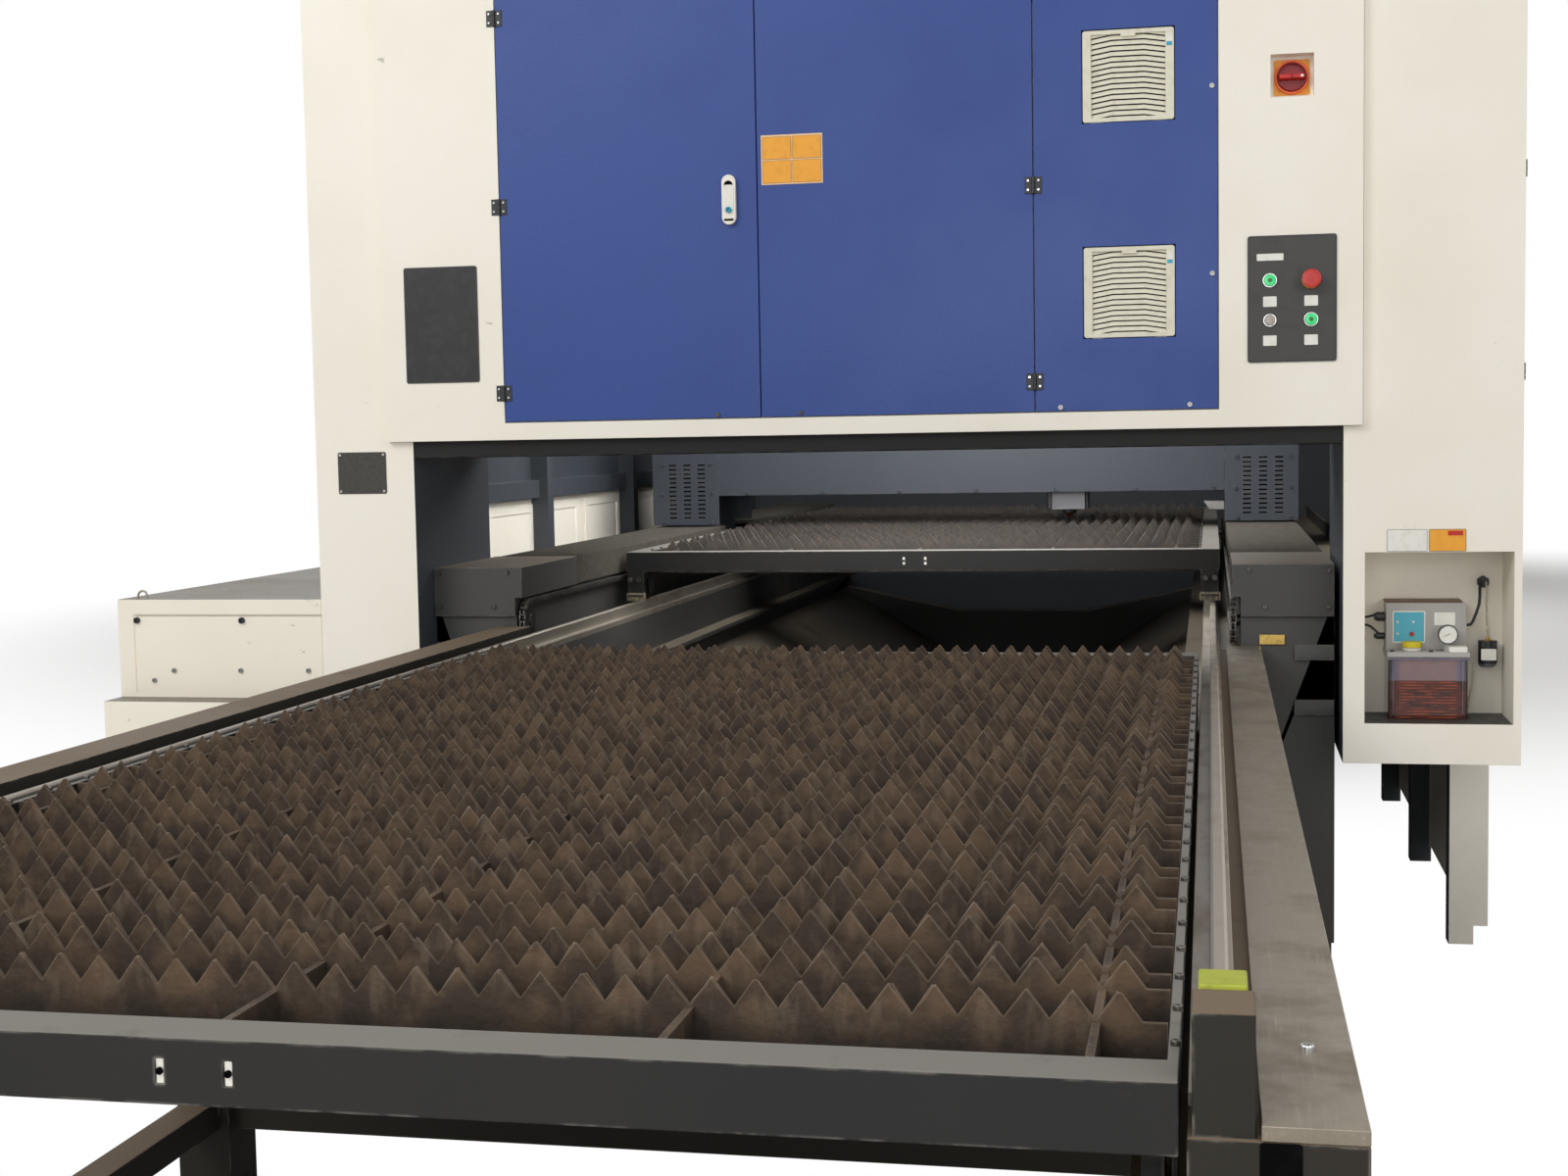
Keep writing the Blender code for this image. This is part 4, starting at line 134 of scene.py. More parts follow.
# %% Sky
bpy.context.scene.view_settings.view_transform = "Standard"
world = bpy.data.worlds.new("studio")
bpy.context.scene.world = world
world.use_nodes = True
sky = world.node_tree
rays = sky.nodes.new("ShaderNodeLightPath")
seen = rays.outputs["Is Camera Ray"]
for kind in ("Is Glossy Ray", "Is Transmission Ray"):
    either = sky.nodes.new("ShaderNodeMath")
    either.operation = "MAXIMUM"
    sky.links.new(seen, either.inputs[0])
    sky.links.new(rays.outputs[kind], either.inputs[1])
    seen = either.outputs[0]
strength = sky.nodes.new("ShaderNodeMapRange")
strength.inputs["To Min"].default_value = 0.44
strength.inputs["To Max"].default_value = 1.0
sky.links.new(seen, strength.inputs["Value"])
sky.links.new(strength.outputs[0], sky.nodes["Background"].inputs["Strength"])
sky.nodes["Background"].inputs["Color"].default_value = (1.0, 1.0, 1.0, 1.0)


# %% Lamps
def lamp(name, place, target, size, watts):
    """A square area lamp at a place, turned to face a target."""
    data = bpy.data.lights.new(name, "AREA")
    data.size = size
    data.energy = watts
    made = bpy.data.objects.new(name, data)
    bpy.context.scene.collection.objects.link(made)
    made.location = at(*place)
    made.rotation_euler = (at(*target) - made.location).to_track_quat("-Z", "Y").to_euler()


lamp("key", (-4.5, -6.0, 6.0), (0.0, 0.0, 1.2), 4.0, 280)
lamp("fill", (5.5, -6.5, 4.0), (0.5, 0.0, 1.2), 4.0, 110)
lamp("low", (0.3, -5.4, 1.9), (0.0, 1.0, 0.9), 1.6, 30)
lamp("under_portal", (0.0, 0.75, 1.75), (0.0, 2.6, 0.9), 1.2, 22)
lamp("inside", (0.0, 2.0, 2.3), (0.0, 2.0, 0.9), 1.6, 50)
lamp("rear", (0.0, 11.0, 5.0), (0.0, 4.0, 1.0), 4.0, 200)

# %% [markdown]
# ## Shader maths
#
# A procedural material is a formula on the place of a point: noise picks spots, thresholds
# make them scuffs, and mixes colour them. Written node by node, that is long, so one small
# class wraps a socket and lets Python's + - * / build the Math nodes. A Finish is one
# material, and its node() method makes any shader node.


# %% Sockets with arithmetic
class Wire:
    """A socket of a material that adds, subtracts, multiplies and divides."""

    def __init__(self, finish, socket):
        self.finish, self.socket = finish, socket

    def maths(self, operation, first, second):
        return self.finish.node("Math", {"operation": operation}, {0: first, 1: second})

    def __add__(self, other):
        return self.maths("ADD", self, other)

    def __sub__(self, other):
        return self.maths("SUBTRACT", self, other)

    def __rsub__(self, other):
        return self.maths("SUBTRACT", other, self)

    def __mul__(self, other):
        return self.maths("MULTIPLY", self, other)

    def __truediv__(self, other):
        return self.maths("DIVIDE", self, other)

    __radd__ = __add__
    __rmul__ = __mul__


# %% One material
def paint_card(code):
    """A colour written as six hex digits, as the linear numbers that shaders take."""
    parts = [int(code[i : i + 2], 16) / 255 for i in (0, 2, 4)]
    return (*[p / 12.92 if p <= 0.04045 else ((p + 0.055) / 1.055) ** 2.4 for p in parts], 1.0)


class Finish:
    """One material. Every pattern in it starts from the place of a point on the machine."""

    def __init__(self, name, **constants):
        self.material = bpy.data.materials.new(name)
        self.material.use_nodes = True
        self.tree = self.material.node_tree
        self.shader = self.tree.nodes["Principled BSDF"]
        self.place = self.node("TexCoord", output="Object")
        self.set(**constants)

    def node(self, kind, settings=None, sockets=None, output=0):
        made = self.tree.nodes.new("ShaderNode" + kind)
        for key, value in (settings or {}).items():
            setattr(made, key, value)
        for key, value in (sockets or {}).items():
            self.plug(made.inputs[key], value)
        return Wire(self, made.outputs[output])

    def plug(self, socket, value):
        if isinstance(value, Wire):
            self.tree.links.new(value.socket, socket)
        else:
            socket.default_value = paint_card(value) if isinstance(value, str) else value

    def set(self, **sockets):
        """Sets the shader's own sockets, with _ for a space in a name."""
        for key, value in sockets.items():
            self.plug(self.shader.inputs[key.replace("_", " ")], value)
        return self

    def noise(self, size, detail=3.0, stretch=(1.0, 1.0, 1.0)):
        """Noise of about 0 to 1 whose spots are size metres across, drawn out by stretch."""
        shares = tuple(1.0 / (size * s) for s in stretch)
        spot = self.node("VectorMath", {"operation": "MULTIPLY"}, {0: self.place, 1: shares})
        return self.node("TexNoise", None, {"Vector": spot, "Scale": 1.0, "Detail": detail,
                                            "Roughness": 0.55})

    def mask(self, value, low, high):
        """0 below low, 1 above high, smooth between. With low above high it is turned round."""
        return self.node("MapRange", {"interpolation_type": "SMOOTHSTEP"}, {0: value, 1: low, 2: high})

    def mix(self, share, first, second):
        """The first colour where share is 0, the second where it is 1."""
        return self.node("Mix", {"data_type": "RGBA"}, {0: share, 6: first, 7: second}, 2)

    def along(self, axis):
        """How far along x, y or z a point lies."""
        return self.node("SeparateXYZ", None, {0: self.place}, "XYZ".index(axis))

    def bump(self, height, depth):
        """A normal that leans as if height, from 0 to 1, stood depth metres proud."""
        return self.node("Bump", None, {"Height": height, "Distance": depth, "Strength": 1.0})

    def worn_and_highlit_edges(self, width):
        """1 on sharp outer edges and 0 on flats, from how far a rounded normal leans. Its users lighten these
        edges, partly as wear and partly as a painted highlight.
        """
        round_normal = self.node("Bevel", {"samples": 4}, {"Radius": width})
        flat_normal = self.node("NewGeometry", None, None, "Normal")
        agree = self.node("VectorMath", {"operation": "DOT_PRODUCT"}, {0: round_normal, 1: flat_normal},
                          "Value")
        return self.mask(agree, 0.995, 0.90)


# %% [markdown]
# ## Paints
#
# Machine enclosures are powder coated. The powder melts into a skin with a fine orange peel,
# which breaks reflections up, and years of work leave faint clouds of dust, small dark knocks
# and scuffs, and grime near the floor. The same recipe serves all paints with other numbers.


# %% Powder coat
def powder_coat(
    name, base, shade, mark, peel=0.004, depth=0.00006, gloss=0.42, grime=0.3, worn=0.0, dust=None
):
    """Paint with clouds towards shade, scuffs and grime towards mark, and dust on its tops. With worn, its
    edges get lighter, partly as wear and partly as a painted highlight.
    """
    paint = Finish(name)
    clouds = paint.mask(paint.noise(0.45, 5), 0.35, 0.75)
    fine = paint.noise(0.03, 4)
    scuffs = paint.mask(paint.noise(0.05, 6, (1, 1, 0.5)), 0.68, 0.74) * paint.mask(
        paint.noise(0.3, 2), 0.5, 0.62
    )
    chips = paint.mask(paint.noise(0.012, 2), 0.80, 0.83)
    low = paint.mask(paint.along("Z") + fine * 0.25, 0.55, 0.10) * grime
    marks = scuffs * 0.45 + chips * 0.6 + low * (0.4 + fine * 0.6)
    tone = paint.mix(clouds * 0.7, base, shade)
    # Lighter edges: partly worn paint and partly a painted highlight on the rounded edges.
    if worn:
        worn_and_highlit_edges = paint.worn_and_highlit_edges(0.004) * paint.mask(paint.noise(0.04, 5), 0.45, 0.62)
        tone = paint.mix(worn_and_highlit_edges * worn, tone, "8C877E")
    tone = paint.mix(marks, tone, mark)
    if dust:
        upward = paint.node(
            "SeparateXYZ", None, {0: paint.node("NewGeometry", None, None, "Normal")}, 2
        )
        settled = paint.mask(upward, 0.35, 0.95) * paint.mask(paint.noise(0.05, 6), 0.0, 0.42)
        tone = paint.mix(settled * 0.92, tone, dust)
    skin = paint.noise(peel, 2)
    paint.set(
        Base_Color=tone, Roughness=clouds * 0.12 + (marks * 0.3 + gloss), Normal=paint.bump(skin, depth)
    )
    return paint


finishes = {
    "white_paint": powder_coat("white_powder_coat", "F7F1E4", "F0E9D8", "6E665A"),
    "dusty_white": powder_coat("dusty_white_coat", "F5EEDE", "EDE5D0", "6E665A", dust="544D40"),
    "blue_paint": powder_coat("blue_powder_coat", "27468E", "223E84", "1C2743", 0.005, 0.0003, 0.4),
    "slate_paint": powder_coat("slate_enamel", "3A3F48", "343941", "2C2B2A", gloss=0.5, worn=0.5),
    "inner_enamel": powder_coat("inner_enamel", "3B4047", "42464C", "2E2D2A", gloss=0.5),
    "grey_paint": powder_coat(
        "dark_enamel", "3A3A39", "43403C", "4A433B", gloss=0.5, worn=0.8, dust="716758"
    ),
    "pallet_paint": powder_coat(
        "pallet_enamel", "1C1C1C", "262422", "38312A", gloss=0.58, worn=0.8, dust="7B7770"
    ).set(Specular_IOR_Level=0.25),
    "platform_paint": powder_coat(
        "platform_enamel", "1F1D18", "2A2620", "3A3228", gloss=0.6, worn=0.8, dust="71614F"
    ).set(Specular_IOR_Level=0.25),
    "pump_grey": powder_coat("pump_casting", "B2AEA9", "A3A09B", "55524E", 0.002, 0.0001),
    "head_grey": powder_coat("head_anodising", "77767A", "6C6B6D", "45433F", 0.002, 0.0001),
    "black_cast": powder_coat("black_cast_hinge", "232427", "2C2D2F", "55524D", 0.0015, 0.0001, 0.4),
}
print("paints:", list(finishes))

# %% [markdown]
# ## Bare steel
#
# Steel shows what happened to it. Slats are cut into by the beam, so they are brown with
# scorch and crusted with melt. The edges of their teeth are lighter, partly worn bright where
# they were touched last and partly a painted highlight, and their lower parts are darker as
# painted shade between the rows. Side plates are worn by sheets dragged over them, along the
# machine. The rail is polished by wheels, also along the machine, so its brush lines are
# noise drawn out far along Y. Oiled steel gets lighter edges in the same way.

# %% Slat, plate, rail and oiled steel
slat = Finish("scorched_slat_steel", Metallic=0.35)
melt = slat.noise(0.012, 5)
rust = slat.mask(slat.noise(0.06, 5), 0.40, 0.66)
high = slat.mask(slat.noise(0.02, 4, (1, 1, 3)), 0.50, 0.72)
slat_tone = slat.mix(rust, "3C3026", "5E4B39")
slat_tone = slat.mix(high * 0.5, slat_tone, "756452")
# Lighter tooth edges: partly wear and partly a painted highlight.
slat_tone = slat.mix(slat.worn_and_highlit_edges(0.0025) * 0.45, slat_tone, "95856F")
height = slat.along("Z")
slat_tone = slat.mix(slat.mask(height, 0.90, 0.94) * 0.65, slat_tone, "4C4A49")
# Painted shade: the lower parts of the slats, down between the rows, are darkened.
painted_shade_low = slat.mask(height, 0.880, 0.825) + slat.mask(height, 1.035, 0.985) * slat.mask(height, 0.925, 0.935)
slat_tone = slat.mix(painted_shade_low * 0.75, slat_tone, "1E1813")
slat.set(Base_Color=slat_tone, Roughness=0.5 + melt * 0.35, Normal=slat.bump(melt, 0.0012))

worn = Finish("worn_side_plate", Metallic=0.55)
dragged = worn.noise(0.004, 5, (1, 30, 1))
stains = worn.mask(worn.noise(0.12, 5), 0.40, 0.66)
worn_tone = worn.mix(stains, "8C8375", "746A5C")
worn_tone = worn.mix(worn.mask(dragged, 0.55, 0.75) * 0.5, worn_tone, "A89F90")
worn.set(Base_Color=worn_tone, Roughness=0.35 + stains * 0.3, Normal=worn.bump(dragged, 0.0002))

rail = Finish("polished_rail_steel", Metallic=0.75)
brushed = rail.noise(0.0012, 3, (1, 60, 1))
film = rail.mask(rail.noise(0.08, 4, (1, 3, 1)), 0.45, 0.75)
rail_tone = rail.mix(film * 0.8, "A9A195", "7D7365")
rail.set(Base_Color=rail_tone, Roughness=0.34 + brushed * 0.15 + film * 0.2)
rail.set(Normal=rail.bump(brushed, 0.00005))

oiled = Finish("oiled_dark_steel", Metallic=0.8)
smear = oiled.noise(0.03, 5)
oiled_tone = oiled.mix(oiled.mask(smear, 0.4, 0.7), "3B3A39", "5C5650")
# Lighter edges: partly rubbed bright and partly a painted highlight.
oiled_tone = oiled.mix(oiled.worn_and_highlit_edges(0.0015) * 0.7, oiled_tone, "A39C93")
oiled.set(Base_Color=oiled_tone, Roughness=0.3 + smear * 0.3, Normal=oiled.bump(smear, 0.0003))

brass = Finish("nozzle_copper", Metallic=1.0)
tarnish = brass.noise(0.006, 5)
brass.set(
    Base_Color=brass.mix(tarnish, "8A5C3C", "45291C"),
    Roughness=0.25 + tarnish * 0.25,
)
finishes.update(slat_steel=slat, worn_plate=worn, bright_steel=rail, dark_steel=oiled, copper=brass)
print("steels:", 5)

# %% [markdown]
# ## Plastics, rubber, fabric, oil
#
# Moulded plastic has a fine even grain and picks up dust. Lit push buttons glow, so their
# lens gets a little emission. Bellows are coated cloth, matt and dusty in the folds. Oil in
# its tank is a clear amber body under clear plastic. The tank has no transmission: its
# see-through look, the reflections and glints in it and its darker sides are painted into its colour.


# %% Moulded plastic
def moulded(name, base, dust, gloss=0.4, grain=0.00004, lit=0.0, **constants):
    """Plastic with mould grain and a veil of dust."""
    plastic = Finish(name, **constants)
    veil = plastic.mask(plastic.noise(0.02, 5), 0.45, 0.75)
    tone = plastic.mix(veil * 0.5, base, dust)
    plastic.set(
        Base_Color=tone,
        Roughness=gloss + veil * 0.2,
        Normal=plastic.bump(plastic.noise(0.0012, 2), grain),
    )
    if lit:
        plastic.set(Emission_Color=tone, Emission_Strength=lit)
    return plastic


finishes.update(
    black_plastic=moulded("black_moulding", "1D1E20", "3A3937", 0.42, 0.00008),
    cream_plastic=moulded("cream_moulding", "E4DFCB", "C9C2AB", 0.5),
    red_plastic=moulded("red_moulding", "C4231A", "A3251C", 0.25),
    green_lens=moulded("green_lens", "2BC46B", "59DB8C", 0.18, lit=0.35),
    yellow_plastic=moulded("yellow_cap", "D8C21F", "B7A42A", 0.35),
    bumper_rubber=moulded("bumper_rubber", "9FA632", "757A33", 0.6, 0.0002),
    bellows_fabric=moulded("bellows_cloth", "433F38", "6A6357", 0.75, 0.0002),
    clear_hose=moulded("hose_wall", "D9D4C2", "BDB49A", 0.2, Transmission_Weight=0.6, IOR=1.45),
)
# The tank is one opaque material: its see-through look, reflections, glints and darker sides are painted into
# its colour.
tank = Finish("oil_in_clear_tank", Roughness=0.12, IOR=1.47, Coat_Weight=0.5)
swirl = tank.noise(0.02, 4)
level = tank.mask(tank.along("Z") + swirl * 0.002, 0.7585, 0.7555)
off_middle = tank.node("Math", {"operation": "ABSOLUTE"}, {0: tank.along("X") - 1.5819})
inner = tank.mask(off_middle, 0.070, 0.062)
wave = tank.node("Math", {"operation": "PINGPONG"}, {0: tank.along("Z") + swirl * 0.0012, 1: 0.0035})
# Painted glints: thin orange lines in the oil.
glints = tank.mask(wave, 0.0021, 0.0033) * tank.mask(tank.noise(0.02, 2, (3, 1, 0.4)), 0.40, 0.55) * inner
oil = tank.mix(tank.mask(swirl, 0.35, 0.7), "5A1D0D", "34130A")
oil = tank.mix(glints, oil, "B4502A")
# Painted see-through colour above the oil, with a reddish painted reflection in the middle.
clear = tank.mix(inner * (swirl * 0.5 + 0.35), "6C6876", "98736C")
tone = tank.mix(level, clear, oil)
# Painted shade: the tank's sides are darker.
tank.set(Base_Color=tank.mix(tank.mask(off_middle, 0.080, 0.088) * 0.7, tone, "2A1C18"))
finishes["oil_amber"] = tank
print("finishes in all:", len(finishes))

# %% [markdown]
# ## Labels and small parts
#
# Plain labels are printed vinyl, so they are plastics with a faint veil of dust. Each small
# finish also names the material of the CAD model that it belongs to.

# %% Small finishes
small_parts = {
    "white_label": ("EDEBE2", "D8D3C2", 0.45, "white_paint"),
    "orange_label": ("F2A72E", "DE9430", 0.4, "yellow_plastic"),
    "pale_orange": ("F6CE9A", "E8BE8C", 0.4, "yellow_plastic"),
    "hot_orange": ("E8622A", "D0552A", 0.35, "red_plastic"),
    "yellow_label": ("E9B52B", "CF9C2C", 0.4, "yellow_plastic"),
    "black_label": ("1C1C1E", "2E2D2C", 0.35, "black_plastic"),
    "dark_rim": ("343230", "4A4742", 0.45, "black_plastic"),
    "brown_rim": ("5A3F2C", "6E5440", 0.45, "black_plastic"),
    "dark_gap": ("0C0C0D", "1A1918", 0.8, "black_plastic"),
    "charcoal_board": ("393836", "484643", 0.5, "black_plastic"),
    "deep_red": ("8E1320", "6E1A1E", 0.35, "red_plastic"),
    "deep_green": ("0F6B3A", "167A46", 0.3, "green_lens"),
    "blue_dot": ("2C9DB8", "3C8BA8", 0.3, "pump_grey"),
    "keypad_blue": ("52AFC4", "6FB4C2", 0.45, "pump_grey"),
    "keypad_grey": ("8E8797", "A39CA8", 0.2, "clear_hose"),
    "cover_grey": ("8B8B88", "6F6E6B", 0.45, "pump_grey"),
    "pale_cap": ("D9D6CC", "B8B3A6", 0.35, "white_paint"),
    "brush_fibre": ("8A7F6A", "5E5546", 0.8, "bumper_rubber"),
}
for name, (base, dust, gloss, slot) in small_parts.items():
    finishes[name] = moulded(name, base, dust, gloss)
for name, base, stain, gloss in (("rating_metal", "4E4C49", "38352F", 0.35),
                                 ("chromed", "D6D8DA", "9FA1A2", 0.12),
                                 ("brass_block", "C7A85E", "7C6236", 0.3)):
    metal = Finish(name, Metallic=0.9)
    film = metal.mask(metal.noise(0.01, 5), 0.45, 0.75)
    metal.set(Base_Color=metal.mix(film * 0.6, base, stain),
              Roughness=gloss + film * 0.25, Normal=metal.bump(metal.noise(0.0015, 3), 0.00005))
    finishes[name] = metal
# This near-black finish serves dark joints and also painted shade in gaps, holes, slots and recesses, so it
# gets no specular reflection.
finishes["dark_gap"].set(Specular_IOR_Level=0.0)
print("with the small ones:", len(finishes))

# %% [markdown]
# ## Dress the CAD nodes
#
# Each CAD node names the finish it was given in the model, so the new materials are put in
# the place of the plain ones by that name.

# %% New materials on the nodes
held_slot = {}
for name, node in nodes.items():
    for held in node.material_slots:
        held_slot[name] = held.material.name.split(".")[0]
        held.material = finishes[held_slot[name]].material
print("dressed:", len(nodes))

# %% [markdown]
# ## Tools of the bench
#
# Every new piece starts as a primitive at its size and place, and is shaped in edit mode as it
# would be by hand. A few short helpers save the steps that always come together: clearing the
# selection, picking faces by where they are and which way they face, rounding edges, copying,
# and handing the finished piece its material and the body that it moves with.


# %% Starting a piece
def rest():
    """Object mode with nothing selected."""
    if bpy.context.object and bpy.context.object.mode != "OBJECT":
        bpy.ops.object.mode_set(mode="OBJECT")
    bpy.ops.object.select_all(action="DESELECT")


def use(piece):
    """Object mode with one piece selected and active."""
    rest()
    piece.select_set(True)
    bpy.context.view_layer.objects.active = piece
    return piece


def block(name, low, high):
    """A cube stretched between two corners, given on the machine."""
    rest()
    low, high = at(*low), at(*high)
    bpy.ops.mesh.primitive_cube_add(size=1.0, location=(low + high) / 2, scale=high - low)
    bpy.context.object.name = name
    bpy.ops.object.transform_apply(location=True, rotation=True, scale=True)
    return bpy.context.object


def rod(name, centre, radius, length, axis="Y", sides=24):
    """A cylinder along one axis."""
    rest()
    turn = {"X": (0.0, math.pi / 2, 0.0), "Y": (math.pi / 2, 0.0, 0.0), "Z": (0.0, 0.0, 0.0)}[axis]
    bpy.ops.mesh.primitive_cylinder_add(
        vertices=sides, radius=radius, depth=length, location=at(*centre), rotation=turn
    )
    bpy.context.object.name = name
    bpy.ops.object.transform_apply(location=True, rotation=True, scale=True)
    return bpy.context.object


# %% Picking and shaping
def looks(way):
    """A test for one side of a piece: "-y" is its front, "+z" its top, and "x" both ends."""
    axis, sign = "xyz".index(way[-1]), {"-": -1.0, "+": 1.0}.get(way[0])
    return lambda middle, normal: (normal[axis] * sign if sign else abs(normal[axis])) > 0.9


def pick(piece, test, kind="FACE"):
    """Edit mode with the faces or edges picked whose middle, on the machine, and direction pass."""
    test = looks(test) if isinstance(test, str) else test
    if piece.mode != "EDIT":
        use(piece)
        bpy.ops.object.mode_set(mode="EDIT")
    bpy.ops.mesh.select_mode(type=kind)
    bpy.ops.mesh.select_all(action="DESELECT")
    shape = bmesh.from_edit_mesh(piece.data)
    if kind == "FACE":
        for face in shape.faces:
            face.select_set(bool(test(face.calc_center_median() - SHIFT, face.normal)))
    else:
        for edge in shape.edges:
            ends = [vertex.co - SHIFT for vertex in edge.verts]
            edge.select_set(bool(test((ends[0] + ends[1]) / 2, (ends[1] - ends[0]).normalized())))
    bmesh.update_edit_mesh(piece.data)


def draw_out(move):
    """Extrudes what is picked by a move."""
    bpy.ops.mesh.extrude_region_move(TRANSFORM_OT_translate={"value": move})


def inset(piece, side, rim):
    """Picks one side of a piece and leaves a rim round it."""
    pick(piece, side)
    bpy.ops.mesh.inset(thickness=rim)


def along_axis(side, depth):
    """A move along the axis of one side."""
    return Vector([depth if axis == side[-1] else 0.0 for axis in "xyz"])


def sunk(piece, side, rim, depth):
    """One side inset, and its middle drawn along its axis with upright walls."""
    inset(piece, side, rim)
    draw_out(along_axis(side, depth))
    return piece


def dished(piece, side, rim, depth):
    """One side inset, and its middle shifted along its axis, so that the rim slopes."""
    inset(piece, side, rim)
    bpy.ops.transform.translate(value=along_axis(side, depth))
    return piece


def resized(piece, side, value, centre=None):
    """One side made wider or narrower, about its own middle or a place on the machine."""
    pick(piece, side)
    about = {"center_override": at(*centre)} if centre else {}
    bpy.ops.transform.resize(value=value, **about)
    return piece


def corners(piece, axis, width, segments):
    """Rounds the edges that run along one axis."""
    pick(piece, axis, "EDGE")
    bpy.ops.mesh.bevel(offset=width, segments=segments, affect="EDGES")
    return piece


def bored(piece, axis, wall):
    """A hole right through along an axis, with a wall left round it."""
    inset(piece, axis, wall)
    bpy.ops.mesh.bridge_edge_loops()
    return piece


def opened(piece, side):
    """Takes the faces of a side away, so that a sheet without thickness is left."""
    pick(piece, side)
    bpy.ops.mesh.delete(type="ONLY_FACE")
    return piece


def toothed(piece, axis, teeth, value, centre):
    """Draws every other edge along an axis towards a centre on the machine."""
    across, upward = [index for index in range(3) if "xyz"[index] != axis]

    def every_other(middle, along):
        angle = math.atan2(middle[upward] - centre[upward], middle[across] - centre[across])
        return looks(axis)(middle, along) and round(angle / math.pi * teeth) % 2 == 0

    pick(piece, every_other, "EDGE")
    bpy.ops.transform.resize(value=value, center_override=at(*centre))


# %% Modifiers, copies and handing over
def modified(piece, kind, **settings):
    """Adds one modifier with its settings and applies it."""
    use(piece)
    made = piece.modifiers.new("step", kind)
    for key, value in settings.items():
        setattr(made, key, value)
    bpy.ops.object.modifier_apply(modifier=made.name)
    return piece


def rounded(piece, width, segments=2):
    """Rounds every edge sharper than 30 degrees."""
    return modified(
        piece, "BEVEL", width=width, segments=segments, limit_method="ANGLE", angle_limit=math.radians(30.0)
    )


def cut_by(piece, cutter):
    """Cuts one piece by another, which is then thrown away."""
    modified(piece, "BOOLEAN", operation="DIFFERENCE", solver="EXACT", object=cutter)
    bpy.data.objects.remove(cutter)


def arrayed(piece, count, step, merged=False):
    """A row of copies, a step apart."""
    return modified(
        piece, "ARRAY", count=count, use_relative_offset=False, use_constant_offset=True,
        constant_offset_displace=step, use_merge_vertices=merged, merge_threshold=0.0002,
    )


def joined(pieces):
    """Several pieces as one, under the name of the first."""
    use(pieces[0])
    for piece in pieces[1:]:
        piece.select_set(True)
    bpy.ops.object.join()
    return pieces[0]


def repeated(piece, moves):
    """Copies of a piece at other places, each from its own mesh, joined to it."""
    use(piece)
    for move in moves:
        twin = piece.copy()
        twin.data = piece.data.copy()
        twin.data.transform(move if isinstance(move, Matrix) else Matrix.Translation(move))
        bpy.context.scene.collection.objects.link(twin)
        twin.select_set(True)
    bpy.ops.object.join()
    return piece


def handed(piece, finish, body="machine", stands_for=(), smooth=46.0):
    """The finished piece gets its material and shading, and rides on a body of the machine."""
    use(piece)
    bpy.ops.object.shade_smooth_by_angle(angle=math.radians(smooth))
    modified(piece, "WEIGHTED_NORMAL", keep_sharp=True, weight=80)
    piece.data.materials.clear()
    piece.data.materials.append(finishes[finish].material)
    if stands_for:
        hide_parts(*stands_for)
    if body:
        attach(piece, body)
    return piece


def touched(piece, test, finish):
    """A second material on the faces that pass."""
    piece.data.materials.append(finishes[finish].material)
    for face in piece.data.polygons:
        if test(face.center - SHIFT, face.normal):
            face.material_index = len(piece.data.materials) - 1


# %% [markdown]
# ## Slats
#
# The table is a grid of saw-tooth slats, standing on edge in slots in pairs with one slot left
# free. A sheet lies on their tips, and the beam eats into them, so the teeth are blunt and
# uneven. One tooth is a block drawn out to a ridge. An Array makes the row, copies of it
# joined to it make the pairs and the table, and Randomize moves the tips a little.


# %% One slat row, then a whole pallet
TOOTH, SLAT, ROW_START = 0.040, 0.004, 0.161
LOWER_FRONT, LOWER_TIP, UPPER_FRONT, UPPER_TIP = -3.446, 0.892, 1.020, 1.045


def slat_rows(name, front, tip, body, node):
    """All slats of one pallet. The rows start behind its front tube."""
    y = front + ROW_START
    shoulder = tip - 0.025
    tooth = opened(block(name, (-0.8, y, tip - 0.1), (-0.8 + TOOTH, y + SLAT, shoulder)), "x")
    pick(tooth, "+z")
    draw_out((0.0, 0.0, tip - shoulder))
    bpy.ops.transform.resize(value=(0.06, 1.0, 1.0))
    arrayed(tooth, 40, (TOOTH, 0.0, 0.0), merged=True)
    pick(tooth, lambda middle, along: abs(middle.x) > 0.799, "EDGE")
    bpy.ops.mesh.edge_face_add()
    for side in (-1.0, 1.0):
        pick(tooth, lambda middle, normal: middle.x * side > 0.7999 and normal.x * side > 0.9)
        draw_out((side * 0.021, 0.0, 0.0))
    rest()
    pairs = [(0.0, 0.107 + 0.158 * pair + offset, 0.0) for pair in range(18) for offset in (0.0, 0.054)]
    whole = repeated(tooth, pairs)
    pick(whole, lambda middle, normal: middle.z > tip - 0.004)
    bpy.ops.transform.vertex_random(offset=0.0022, uniform=0.0, normal=0.0, seed=7)
    rest()
    handed(whole, "slat_steel", body, (node,))
    print(name, len(pairs) + 1, "rows,", len(whole.data.polygons), "faces")
    return whole


def ribs(name, front, tip, body):
    """The five long ribs that hold the slats, drawn thin."""
    made = []
    for x in (-0.76, -0.4, 0.0, 0.4, 0.76):
        rib = block(name, (x - 0.004, front + 0.061, tip - 0.076), (x + 0.004, front + 3.039, tip - 0.026))
        made.append(rounded(rib, 0.001))
    return handed(joined(made), "slat_steel", body)


slat_rows("lower_slats", LOWER_FRONT, LOWER_TIP, "lower_pallet", "lower_pallet_slats")
slat_rows("upper_slats", UPPER_FRONT, UPPER_TIP, "upper_pallet", "upper_pallet_slats")
ribs("lower_ribs", LOWER_FRONT, LOWER_TIP, "lower_pallet")
ribs("upper_ribs", UPPER_FRONT, UPPER_TIP, "upper_pallet")

